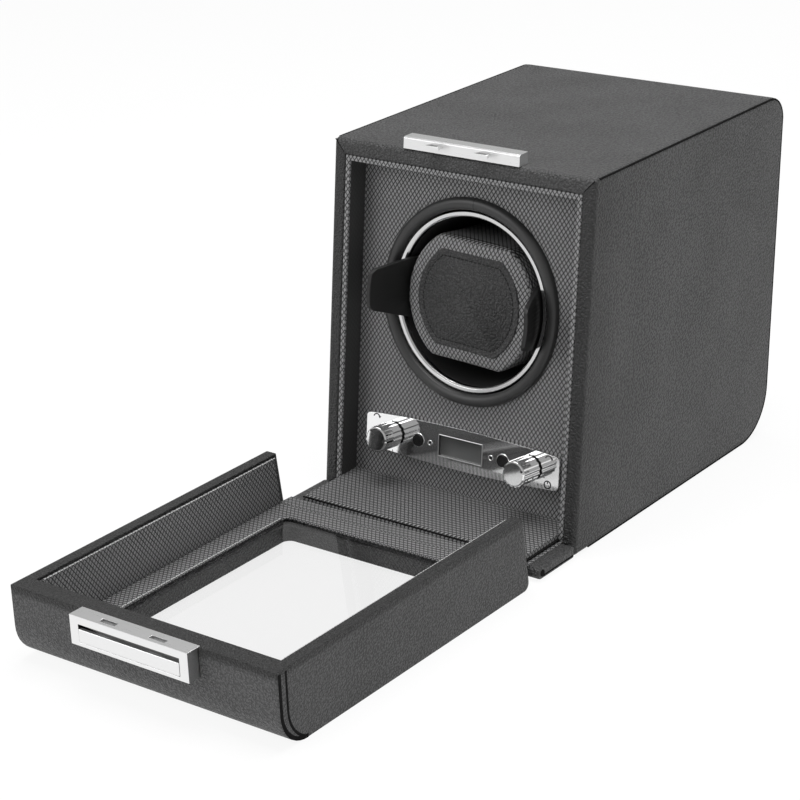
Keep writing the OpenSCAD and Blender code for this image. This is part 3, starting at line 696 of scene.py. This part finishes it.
class WinderSizes(bpy.types.PropertyGroup):
    """Sizes of the details."""

    edge_radius: setting(LENGTH, "Edge radius", "Rounding of the leather's edges", 0.0022, 0.0003, 0.003)
    cell_width: setting(LENGTH, "Cell width", "Width of one rhombus of the woven cloth", 0.0022, 0.001, 0.005)
    cell_height: setting(LENGTH, "Cell height", "Height of one rhombus of the woven cloth",
                         0.003, 0.001, 0.006)
    stitch_length: setting(LENGTH, "Stitch length", "Length of a stitch on the patch", 0.0016, 0.001, 0.003)
    flutes: bpy.props.IntProperty(name="Flutes", description="Number of flutes round a knob",
                                  default=16, min=8, max=32)


class WinderFinish(bpy.types.PropertyGroup):
    """Shades of the finishes, as linear greys."""

    leather: setting(SHADE, "Leather", "Shade of the leather", 0.042, 0.005, 0.8)
    cloth: setting(SHADE, "Cloth", "Shade of the woven cloth's raised cells", 0.26, 0.02, 0.9)
    floor: setting(SHADE, "Floor", "Shade of the floor", 0.85, 0.2, 1.0)


class Step(bpy.types.Operator):
    """Base of the winder's operators."""

    bl_options = {"REGISTER", "UNDO"}

    def execute(self, context):
        self.make()
        return {"FINISHED"}


class WINDER_OT_finishes(Step):
    """Gives every CAD solid the finish of its slot"""

    bl_idname = "winder.finishes"
    bl_label = "Finishes"

    def make(self):
        make_looks()
        for row in frame["record"]["subparts"]:
            solid = frame["nodes"][row["node"]]
            look = LOOKS[row["material_slot"]]
            for slot in solid.material_slots:
                slot.material = look
        # The catch is made black: painted shade in the latch's holes, where it is seen.
        others = {"window_reveal": "dark_leather", "drum_cup": "cup", "latch_catch": "black_plastic"}
        for node, look in others.items():
            frame["nodes"][node].material_slots[0].material = LOOKS[look]


class WINDER_OT_case(Step):
    """Wraps the case in one skin of leather, with a rim round its open front"""

    bl_idname = "winder.case"
    bl_label = "Case leather"

    def make(self):
        low, high = (corner.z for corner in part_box("side_leather_left"))
        edge = bpy.context.scene.winder_sizes.edge_radius
        case = self.leaning_block(low, high)
        pick(case, "EDGE", lambda e: sharp(e, 0.6))
        bevel(edge, 6)
        self.open_front(case, edge)
        smooth(case, 30)
        finish(case, "case", "grained_leather",
               "case_wrap", "side_leather_left", "side_leather_right", "front_rim", look="case_leather")
        finish(joined("case_creases", self.creases(low, high)), "case", "grained_leather", look="crease")

    def leaning_block(self, low, high):
        """A closed block that leans in front and behind, its two back edges round."""
        deep = 1.0  # far deeper than the case until both its ends have their lean
        case = start("cube", "case_skin", size=1.0, location=(0, deep / 2, (low + high) / 2),
                     scale=(2 * CASE_HALF, deep, high - low))
        for z in (low, high):
            pick(case, "VERT", lambda v: v.co.y < deep / 2 and abs(v.co.z - z) < NEAR)
            bpy.ops.transform.translate(value=(0, z * math.tan(LEAN), 0))
            pick(case, "VERT", lambda v: v.co.y > deep / 2 and abs(v.co.z - z) < NEAR)
            bpy.ops.transform.translate(value=(0, CASE_FOOT + z * math.tan(BACK_LEAN) - deep, 0))
        for z, radius, lean in ((low, LOW_ROUND, BACK_LEAN), (high, HIGH_ROUND, -BACK_LEAN)):
            pick(case, "EDGE", lambda e: runs_across(e) and middle(e).y > 0.1 and abs(middle(e).z - z) < NEAR)
            bevel(radius / math.tan((math.pi / 2 + lean) / 2), 14)
        return case

    def open_front(self, case, edge):
        """Cuts the opening, folds its edge in and gives the leather its thickness."""
        rim, foot, head = 0.0065, 0.0057, 0.1596
        fold, skin, fold_radius = (0, 0.0011, -0.00014), 0.0008, 0.0009
        side = CASE_HALF - rim

        def opening(face):
            centred = abs(face.calc_center_median().x) < 1e-4
            return face.normal.y < -0.98 and centred and face.calc_area() > 0.012

        pick(case, "FACE", lambda f: f.normal.y < -0.98 and f.calc_area() > 0.01)
        bpy.ops.mesh.inset(thickness=rim - edge)
        for end in (foot, head):
            pick(case, "VERT", lambda v: abs(abs(v.co.x) - side) < 1e-4 and abs(v.co.z - end) < 0.02)
            mesh = bmesh.from_edit_mesh(case.data)
            here = [v.co.z for v in mesh.verts if v.select]
            rise = end - sum(here) / len(here)
            bpy.ops.transform.translate(value=(0, rise * math.tan(LEAN), rise))
        pick(case, "FACE", opening)
        bpy.ops.mesh.extrude_region_move(TRANSFORM_OT_translate={"value": fold})
        pick(case, "FACE", opening)
        bpy.ops.mesh.delete(type="FACE")
        done()
        modify(case, "SOLIDIFY", thickness=skin, offset=-1.0)
        pick(case, "EDGE", lambda e: sharp(e, 0.9) and leaning_depth(*middle(e).yz) < 0.0002
             and abs(middle(e).x) < side + 0.0002)
        bevel(fold_radius, 4)
        done()

    def creases(self, low, high):
        """Dark cords that paint the shadow in the cut edges of the side leathers, and in the mitres at the
        rim's top corners.
        """
        inset, cord_radius, mitre_radius = 0.0006, 0.0005, 0.0003
        cut, top = CASE_HALF - inset, high - inset
        edge = [(0.0034 + high * math.tan(LEAN), top), (0.06, top), (0.12, top)]
        for z, radius, turns in ((high - HIGH_ROUND, HIGH_ROUND, range(90, -5, -8)),
                                 (low + LOW_ROUND, LOW_ROUND, range(-5, -91, -5))):
            centre = CASE_FOOT + z * math.tan(BACK_LEAN) - radius / math.cos(BACK_LEAN)
            for degrees in turns:
                y, rise = around(radius - inset, degrees)
                edge.append((centre + y, z + rise))
        edge.append((0.012, low + inset))
        mitre = ((0.0641, 0.1606), (0.0667, 0.1634), (0.0692, 0.1660))
        creases = []
        for side in SIDES:
            creases.append(side_cord("crease", side * cut, edge, cord_radius, False))
            slant = [(side * x, 0.0002 + z * math.tan(LEAN), z) for x, z in mitre]
            creases.append(cord("crease", slant, mitre_radius))
        return creases


class WINDER_OT_foot(Step):
    """Covers the tongue and the hinge in leather, and the pad, the recess and the hinge's inside in cloth"""

    bl_idname = "winder.foot"
    bl_label = "Tongue and floor pad"

    def make(self):
        dressed("tongue_board", "tongue_skin", "case", "grained_leather", 0.0008, angle=50)
        finish(joined("tongue_folds", self.folds()), "case", "grained_leather", look="crease")
        dressed("floor_pad", "floor_cloth", "case", "woven_cloth", 0.0006)
        finish(joined("pad_grooves", self.grooves()), "case", "woven_cloth", look="crease")
        dressed("recess_liner", "recess_cloth", "case", "woven_cloth", 0.0005, 2, 50, look="liner_weave")
        dressed("face_panel", "panel_cloth", "case", "woven_cloth", 0.0005, 2, 50)
        self.strip("hinge_leather", "hinge_skin", "grained_leather")
        self.strip("hinge_lining", "hinge_cloth", "woven_cloth")

    def folds(self):
        """Painted shadow at the folded end of the tongue's leather on each side: a dark disc in the round
        tuck, and a dark line back from it.
        """
        tuck, width, line_radius = 0.0016, 0.0003, 0.0004
        front, back, centre, line = -0.0246, -0.0004, 0.0034, 0.0020
        folds = []
        for side in SIDES:
            folds.append(start("cylinder", "fold", vertices=32, radius=tuck, depth=width,
                               location=(side * CASE_HALF, front, centre), rotation=(0, math.pi / 2, 0)))
            round_edges(folds[-1], 0.0001, 2)
            folds.append(side_cord("fold", side * CASE_HALF, ((front, line), (back, line)), line_radius))
        return folds

    def grooves(self):
        """Dark cords that paint the shadow in the gaps in front of the pad and beside it."""
        half, front, over = 0.0606, -0.0262, 0.0091
        lines = [cord("groove", [(-half, front, over), (half, front, over)], 0.00045)]
        for side in SIDES:
            beside = ((-0.0256, 0.0068), (0.0010, 0.0068))
            lines.append(side_cord("groove", side * 0.0613, beside, 0.0006, False))
        return lines

    def strip(self, node, name, slot):
        """A strip of the hinge between the case and the cover, cut across seven times."""
        first, step, cuts = -0.0372, 0.0014, 7
        strip = softened(node, name, 0.0003, 2)
        for i in range(cuts):
            pick(strip)
            bpy.ops.mesh.bisect(plane_co=(0, first + i * step, 0), plane_no=(0, 1, 0))
        done()
        smooth(strip, 40)
        strip.data.materials.clear()
        strip.data.materials.append(LOOKS[slot])
        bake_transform(strip)
        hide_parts(node)


class WINDER_OT_cover(Step):
    """Covers the cover's frame in leather and lines it with cloth"""

    bl_idname = "winder.cover"
    bl_label = "Cover"

    def make(self):
        dressed("cover_frame", "cover_skin", "cover", "grained_leather", 0.0011, 3, 40, "cover_leather")
        dressed("cover_liner", "cover_cloth", "cover", "woven_cloth", 0.0004, 2, look="wall_weave")
        dressed("cover_border", "border_cloth", "cover", "woven_cloth", 0.0004, 2)
        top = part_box("cover_frame")[1].z
        finish(joined("cover_creases", self.creases(top)), "cover", "grained_leather", look="crease")
        finish(joined("cover_threads", self.threads(top)), "cover", "woven_cloth", look="pale_thread")

    def creases(self, top):
        """Dark cords that paint the shadow in two creases on each side, down the far corner and round its
        foot to the edge of the leather.
        """
        far, turn_in = -0.20065, 0.016
        creases = []
        for inside, radius in ((0.0014, 0.0009), (0.0052, 0.0006)):
            line = [(far + inside, top - 0.0012), (far + inside, turn_in)]
            for degrees in range(189, 271, 9):
                nearing = inside * (1 - 0.9 * ((degrees - 180) / 90) ** 2)
                y, z = around(turn_in - max(radius, nearing), degrees)
                line.append((far + turn_in + y, turn_in + z))
            for side in SIDES:
                creases.append(side_cord("crease", side * CASE_HALF, line, radius))
        return creases

    def threads(self, top):
        """Rows of stitches: across the far border, along both side borders and along the walls' tops."""
        pitch, border = 0.0016, 0.0103
        threads = [dashes("thread", (-0.0515, -0.1799, border), (pitch, 0, 0), 65)]
        for side in SIDES:
            threads.append(dashes("thread", (side * 0.0524, -0.0535, border), (0, -pitch, 0), 77))
            threads.append(dashes("thread", (side * 0.0632, -0.0420, top - 0.0012), (0, -pitch, 0), 92))
        return threads


class WINDER_OT_latch(Step):
    """Breaks the edges of the latch plate, its button and the striker"""

    bl_idname = "winder.latch"
    bl_label = "Latch and striker"

    def make(self):
        for node, body, width in (
            ("latch_plate", "cover", 0.00025),
            ("latch_button", "latch_press_bar", 0.0003),
            ("striker_plate", "case", 0.00012),
            ("striker_hooks", "case", 0.0001),
        ):
            dressed(node, node + "_metal", body, "satin_plate", width, 2)
        # The grey strips paint the half-shade in the gap above the button: one flat on the button's top, one
        # upright behind it.
        low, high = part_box("latch_button")
        long, thin, edge = 0.0524, 0.0001, 0.00004
        strips = [block("button_shade", (long, deep, tall), edge, (0, low.y + y, high.z + z))
                  for y, z, deep, tall in ((0.0012, 0, 0.002, thin), (0.0020, 0.0006, 0.0003, 0.0012))]
        finish(joined("button_shade", strips), "latch_press_bar", "satin_plate", look="slot_grey")
        # Thin dark plates on the hooks' tops are painted shade.
        hook_x, hook_off, hook_s = 0.013, -0.0022, CASE_TOP / math.cos(LEAN) + 0.0038
        tops = [block("hook_shade", (0.0058, 0.0041, thin), edge) for side in SIDES]
        for side, top in zip(SIDES, tops):
            placed(top, on_front(side * hook_x, hook_off, hook_s))
        finish(joined("hook_shades", tops), "case", "satin_plate", look="dull_metal")


class WINDER_OT_drum(Step):
    """Turns the drum's bright ring and the soft ring of leather round it"""

    bl_idname = "winder.drum"
    bl_label = "Drum ring"

    def make(self):
        inner, outer, front, deep = 0.0388, 0.04107, 0.0119, 0.0032
        profile = [(inner, front + deep), (inner, front + 0.0006), (inner + 0.0005, front + 0.0001),
                   (inner + 0.0007, front), (outer - 0.0002, front), (outer, front + 0.0002),
                   (outer, front + deep)]
        self.ring("bright_ring", profile, 20, "drum", "chrome_trim", "drum_ring", look="ring")

        inner, half, high, panel = 0.04197, 0.0028, 0.0029, 0.0125
        profile = [(inner + half - half * math.cos(turn), panel - high * math.sin(turn) ** 0.7)
                   for turn in map(math.radians, range(0, 181, 10))]
        self.ring("drum_roll", profile, 60, "case", "grained_leather", "drum_gasket", look="roll_leather")

    def ring(self, name, profile, angle, *finishing, look):
        """A ring turned round the drum's axis, smoothed and finished."""
        ring = turned(name, profile, 160)
        smooth(ring, angle)
        placed(ring, on_front(s=DRUM_S))
        finish(ring, *finishing, look=look)


def flat_sided(piece, half):
    """Cuts a round piece flat above and below."""
    for sign in SIDES:
        pick(piece)
        bpy.ops.mesh.bisect(plane_co=(0, 0, sign * half), plane_no=(0, 0, sign),
                            use_fill=True, clear_outer=True)
    done()


class WINDER_OT_cuff(Step):
    """Swells the cuff's cushion, sews its patch on and moulds its wings"""

    bl_idname = "winder.cuff"
    bl_label = "Cuff"

    def make(self):
        radius, half = 0.0275, 0.02225
        margin = 0.0031
        self.cushion()
        self.patch(radius, half)
        self.stitches(outline(radius - margin, half - margin))
        for node in ("wing_left", "wing_right"):
            dressed(node, node + "_plastic", "cuff", "black_plastic", 0.0006, look="wing")

    def cushion(self):
        """The padded cushion, round at its back and swollen with air."""
        near, far, radius, half = 0.0113, 0.0613, 0.0339, 0.0283
        cushion = rod("cuff_pad", radius, near, far, 96)
        flat_sided(cushion, half)
        pick(cushion, "EDGE", lambda e: sharp(e, 0.9) and middle(e).y > 0.05)
        bevel(0.012, 6)
        pick(cushion, "EDGE", lambda e: sharp(e, 0.9) and middle(e).y < 0.02)
        bevel(0.0015, 3)
        done()
        modify(cushion, "REMESH", mode="VOXEL", voxel_size=0.0011)
        swell(cushion, 0.0005)
        modify(cushion, "SMOOTH", factor=0.5, iterations=2)
        placed(cushion, on_cuff())
        smooth(cushion, 60)
        finish(cushion, "cuff", "woven_cloth", "cuff_cushion", look="cuff_weave")

    def patch(self, radius, half):
        """The leather patch, with a shallow groove pressed in along its edge."""
        back, thick = 0.0125, 0.0022
        margin, groove, dip = 0.0017, 0.0006, 0.00035
        patch = wire("cuff_patch_skin", [(p.x, back, p.z) for p in outline(radius, half)[:-1]])
        pick(patch)
        bpy.ops.mesh.edge_face_add()
        bpy.ops.mesh.extrude_region_move(TRANSFORM_OT_translate={"value": (0, -thick, 0)})
        done()
        outward(patch)
        round_edges(patch, 0.0007, 4)
        pick(patch, "FACE", lambda f: f.normal.y < -0.99)
        for width, depth in ((margin, 0), (groove, -dip), (groove, dip)):
            bpy.ops.mesh.inset(thickness=width, depth=depth)
        done()
        smooth(patch, 60)
        placed(patch, on_cuff())
        finish(patch, "cuff", "grained_leather", "cuff_patch", look="patch_leather")

    def stitches(self, path):
        """Stitches all along the patch's edge."""
        long = bpy.context.scene.winder_sizes.stitch_length
        pitch, depth = long * 1.45, 0.0105
        total = sum((b - a).length for a, b in zip(path, path[1:]))
        count = round(total / pitch)
        sample = block("stitch", (long, 0.0004, 0.00045), 0.00018)
        stitches = []
        for i in range(count):
            point, run = along(path, total * (i + 0.5) / count)
            turn = Matrix.Rotation(-math.atan2(run.z, run.x), 4, "Y")
            stitch = made_of(sample.data.copy(), "stitch")
            stitches.append(placed(stitch, Matrix.Translation((point.x, depth, point.z)) @ turn))
        bpy.data.objects.remove(sample)
        sewing = placed(joined("patch_stitches", stitches), on_cuff())
        finish(sewing, "cuff", "grained_leather", look="thread")


def swell(piece, limit):
    """Swells a closed piece with air, moving no point further than a limit."""
    frames = 12
    before = [v.co.copy() for v in piece.data.vertices]
    only(piece)
    cloth = piece.modifiers.new("Cloth", "CLOTH")
    cloth.settings.use_pressure = True
    cloth.settings.uniform_pressure_force = 4.0
    cloth.settings.effector_weights.gravity = 0.0
    cloth.point_cache.frame_start, cloth.point_cache.frame_end = 1, frames
    scene = bpy.context.scene
    for number in range(1, frames + 1):
        scene.frame_set(number)
    bpy.ops.object.modifier_apply(modifier=cloth.name)
    scene.frame_set(1)
    for vertex, old in zip(piece.data.vertices, before):
        move = vertex.co - old
        if move.length > limit:
            vertex.co = old + move * (limit / move.length)


def outline(radius, half, steps=40):
    """A closed line round a circle that is cut flat above and below."""
    turn = math.asin(half / radius)
    points = []
    for middle_turn in (0, math.pi):
        for i in range(steps + 1):
            here = middle_turn - turn + 2 * turn * i / steps
            points.append(Vector((radius * math.cos(here), 0, radius * math.sin(here))))
    return points + points[:1]


def along(path, distance):
    """The point and direction at a distance along a line."""
    for a, b in zip(path, path[1:]):
        step = (b - a).length
        if distance <= step and step > 0:
            return a + (b - a) * (distance / step), (b - a).normalized()
        distance -= step
    return path[-1], (path[-1] - path[-2]).normalized()


class WINDER_OT_controls(Step):
    """Polishes the control plate and makes its knobs and marks"""

    bl_idname = "winder.controls"
    bl_label = "Controls"

    def make(self):
        dressed("control_plate", "control_face", "case", "chrome_trim", 0.00045)
        for side, name in zip(SIDES, ("left", "right")):
            self.knob(side, name)
            cap = "button_" + name, "button_cap_" + name
            dressed(*cap, "press_" + name, "black_plastic", 0.0005, look="button")
            for what, x, radius in (("button", 0.0235, 0.0031), ("light", 0.0169, 0.0011)):
                collar = start("torus", what + "_collar_" + name, major_radius=radius, minor_radius=0.00025,
                               major_segments=64, minor_segments=10, rotation=UPRIGHT)
                smooth(collar, 60)
                placed(collar, on_front(side * x, PLATE_OFF, PLATE_S))
                finish(collar, "case", "chrome_trim")
        self.display_rim()
        self.marks()

    def display_rim(self):
        """Four thin bars round the display."""
        half_wide, half_high, line = 0.0121, 0.005, 0.0003
        bars = []
        for sign in SIDES:
            bars.append(block("bar", (line, 0.0005, 0.0103), 0.0001, (sign * half_wide, 0, 0)))
            bars.append(block("bar", (0.0245, 0.0005, line), 0.0001, (0, 0, sign * half_high)))
        rim = placed(joined("display_rim", bars), on_front(0, PLATE_OFF, PLATE_S))
        finish(rim, "case", "chrome_trim", look="bearing_steel")

    def fluted(self, radius, near, far, flutes, depth):
        """A knob's round body, its rim waved into smooth flutes."""
        points = 8
        count = flutes * points
        body = rod("knob_body", radius, near, far, count)

        def step(vertex):
            return round(math.atan2(vertex.co.z, vertex.co.x) / (2 * math.pi) * count) % points

        for steps, part in (((0,), 1.0), ((1, 7), 0.85), ((2, 6), 0.5), ((3, 5), 0.15)):
            pick(body, "VERT", lambda v: step(v) in steps)
            shrink = 1 - depth * part / radius
            bpy.ops.transform.resize(value=(shrink, 1, shrink), center_override=(0, (near + far) / 2, 0))
        done()
        return body

    def knob(self, side, name):
        """A fluted knob with a plain front, on a dark neck, and the dot that shows where it points."""
        front, back = -0.0034, PLATE_OFF
        gap, chamfer, disc_radius, disc_back = 0.001, 0.0005, 0.0056, -0.0014
        spot = on_front(side * KNOB_X, 0, PLATE_S)
        flutes = bpy.context.scene.winder_sizes.flutes
        body = self.fluted(0.0061, front + 0.0006, back - gap, flutes, 0.0004)
        smooth(body, 40)
        disc = turned("disc", [(0, front), (disc_radius - chamfer, front), (disc_radius, front + 0.0004),
                               (disc_radius, disc_back), (0, disc_back)], 96)
        smooth(disc, 30)
        neck = rod("knob_neck_" + name, 0.0046, back - 2 * gap, back, 64)
        round_edges(neck, 0.0002, 2)
        smooth(neck, 40)
        placed(neck, spot)
        finish(neck, "dial_" + name, "black_plastic")
        bright = placed(joined("knob_metal_" + name, [body, disc]), spot)
        finish(bright, "dial_" + name, "chrome_trim", "knob_" + name)
        dot = rod("knob_dot_" + name, 0.0006, -0.0002, 0.0002, 24)
        round_edges(dot, 0.0001, 2)
        x, s = around(0.0047, 128 if side < 0 else 25)
        placed(dot, on_front(side * KNOB_X + x, front + 0.0001, PLATE_S + s))
        finish(dot, "dial_" + name, "black_plastic", look="ink")

    def marks(self):
        """Plain arrows, a round sign and ticks printed on the plate."""
        signs = ((-1, 0.0385, True), (1, 0.0385, True), (1, 0.0268, False))
        marks = [self.sign(side, s, is_arrow) for side, s, is_arrow in signs]
        spread, ticks = 35, 5
        for side, first in zip(SIDES, (-20, 200)):
            for degrees in range(first, first + side * spread * ticks, side * spread):
                tick = block("tick", (0.0009, 0.0002, 0.00028), 0.00008)
                x, s = around(0.0082, degrees)
                placed(tick, on_front(side * KNOB_X + x, PLATE_OFF, PLATE_S + s)
                       @ Matrix.Rotation(-math.radians(degrees), 4, "Y"))
                marks.append(tick)
        finish(joined("plate_marks", marks), "case", "black_plastic", look="ink")

    def sign(self, side, s, is_arrow):
        """Half a ring with an arrow's head, or a whole ring with a bar at its top."""
        radius, line = 0.0017, 0.00027
        ring = start("torus", "arc", major_radius=radius, minor_radius=line, major_segments=48,
                     minor_segments=8, rotation=UPRIGHT)
        if is_arrow:
            pick(ring)
            bpy.ops.mesh.bisect(plane_co=(0, 0, 0.0004), plane_no=(0, 0, 1),
                                use_fill=True, clear_inner=True)
            done()
            tip = start("cone", "tip", vertices=20, radius1=0.0006, depth=0.0011,
                        location=(radius, 0, 0.0002), rotation=(math.pi, 0, 0))
        else:
            tip = block("tip", (0.0005, 0.0003, 0.0015), 0.0001, (0, 0, 0.0012))
        return placed(joined("mark", [ring, tip]), on_front(side * 0.0478, PLATE_OFF, s))


class WINDER_OT_stage(Step):
    """Lays the floor, hangs the lights and sets the camera"""

    bl_idname = "winder.stage"
    bl_label = "Stage"

    def make(self):
        self.lay_floor()
        self.light_sky()
        self.hang_lamps()
        self.set_camera()
        bpy.context.scene.view_settings.view_transform = "Standard"

    def lay_floor(self):
        """A pale floor that glows white where it is seen, straight, in metal or through glass."""
        floor = start("plane", "floor", size=12.0, location=(0, 0, 0))
        pick(floor)
        bpy.ops.mesh.subdivide(number_cuts=4)
        done()
        look = Look("pale_floor", roughness=0.9, specular_ior_level=0.0)
        speck = look.noise(look.place(), 40.0)
        tone = bpy.context.scene.winder_finish.floor
        look.feed("Base Color", look.blend(speck, grey(tone * 0.99), grey(tone)))
        camera, mirrored, through = look.rays("Is Camera Ray", "Is Glossy Ray", "Is Transmission Ray")
        glow = look.node("ShaderNodeEmission", {})
        seen = camera.most(mirrored).most(through) * 0.9
        look.show("Material Output", seen, Sock(look, look.shader.outputs[0]), glow)
        floor.data.materials.append(look.material)

    def light_sky(self):
        """An even sky that is plain white where the camera sees it."""
        world = bpy.data.worlds.new("studio")
        world.use_nodes = True
        bpy.context.scene.world = world
        sky = Nodes(world.node_tree)
        light = sky.tree.nodes["Background"]
        light.inputs["Color"].default_value = grey(1.0)
        light.inputs["Strength"].default_value = 0.42
        white = sky.node("ShaderNodeBackground", {}, grey(1.0), 1.0)
        camera, through = sky.rays("Is Camera Ray", "Is Transmission Ray")
        sky.show("World Output", camera.most(through), Sock(sky, light.outputs[0]), white)

    def hang_lamps(self):
        """Three soft boxes that face the winder, each with its place, its size and its power."""
        target = Vector((0, 0, 0.06))
        for name, place, size, power in (
            ("top_softbox", (0.0, 0.1, 1.3), 1.0, 19.5),
            ("right_softbox", (1.2, 0.5, 0.7), 0.9, 4.4),
            ("front_softbox", (-0.85, -1.2, 0.85), 0.9, 8.0),
        ):
            data = bpy.data.lights.new(name, "AREA")
            data.shape, data.size, data.energy = "SQUARE", size, power
            lamp = made_of(data, name)
            lamp.location = place
            lamp.rotation_euler = (target - Vector(place)).to_track_quat("-Z", "Y").to_euler()

    def set_camera(self):
        """A long lens to the right of the winder and above it, tilted a little."""
        data = bpy.data.cameras.new("camera")
        data.sensor_width, data.lens = 36.0, 108.23
        data.clip_start, data.clip_end = 0.05, 30.0
        camera = made_of(data, "camera")
        place = Matrix.Translation((0.595716, -0.795005, 0.456708))
        turn, rise, roll = (math.radians(angle) for angle in (37.87, 21.71, -2.48))
        aim = Matrix.Rotation(turn, 4, "Z") @ Matrix.Rotation(math.pi / 2 - rise, 4, "X")
        camera.matrix_world = place @ aim @ Matrix.Rotation(roll, 4, "Z")
        bpy.context.scene.camera = camera


class WINDER_PT_panel(bpy.types.Panel):
    """Lists the winder's steps, sizes and shades."""

    bl_idname = "WINDER_PT_panel"
    bl_label = "Watch winder box"
    bl_space_type = "VIEW_3D"
    bl_region_type = "UI"
    bl_category = "Winder"

    def draw(self, context):
        for group in (context.scene.winder_sizes, context.scene.winder_finish):
            for key in group.__annotations__:
                self.layout.prop(group, key)
        for step in STEPS:
            self.layout.operator(step.bl_idname)


STEPS = (WINDER_OT_finishes, WINDER_OT_case, WINDER_OT_foot, WINDER_OT_cover, WINDER_OT_latch,
         WINDER_OT_drum, WINDER_OT_cuff, WINDER_OT_controls, WINDER_OT_stage)
CLASSES = (WinderSizes, WinderFinish, *STEPS, WINDER_PT_panel)


def register():
    for cls in CLASSES:
        bpy.utils.register_class(cls)
    bpy.types.Scene.winder_sizes = bpy.props.PointerProperty(type=WinderSizes)
    bpy.types.Scene.winder_finish = bpy.props.PointerProperty(type=WinderFinish)


def unregister():
    del bpy.types.Scene.winder_sizes, bpy.types.Scene.winder_finish
    for cls in reversed(CLASSES):
        bpy.utils.unregister_class(cls)


def main():
    register()
    for step in STEPS:
        group, name = step.bl_idname.split(".")
        getattr(getattr(bpy.ops, group), name)()


if __name__ == "__main__":
    main()
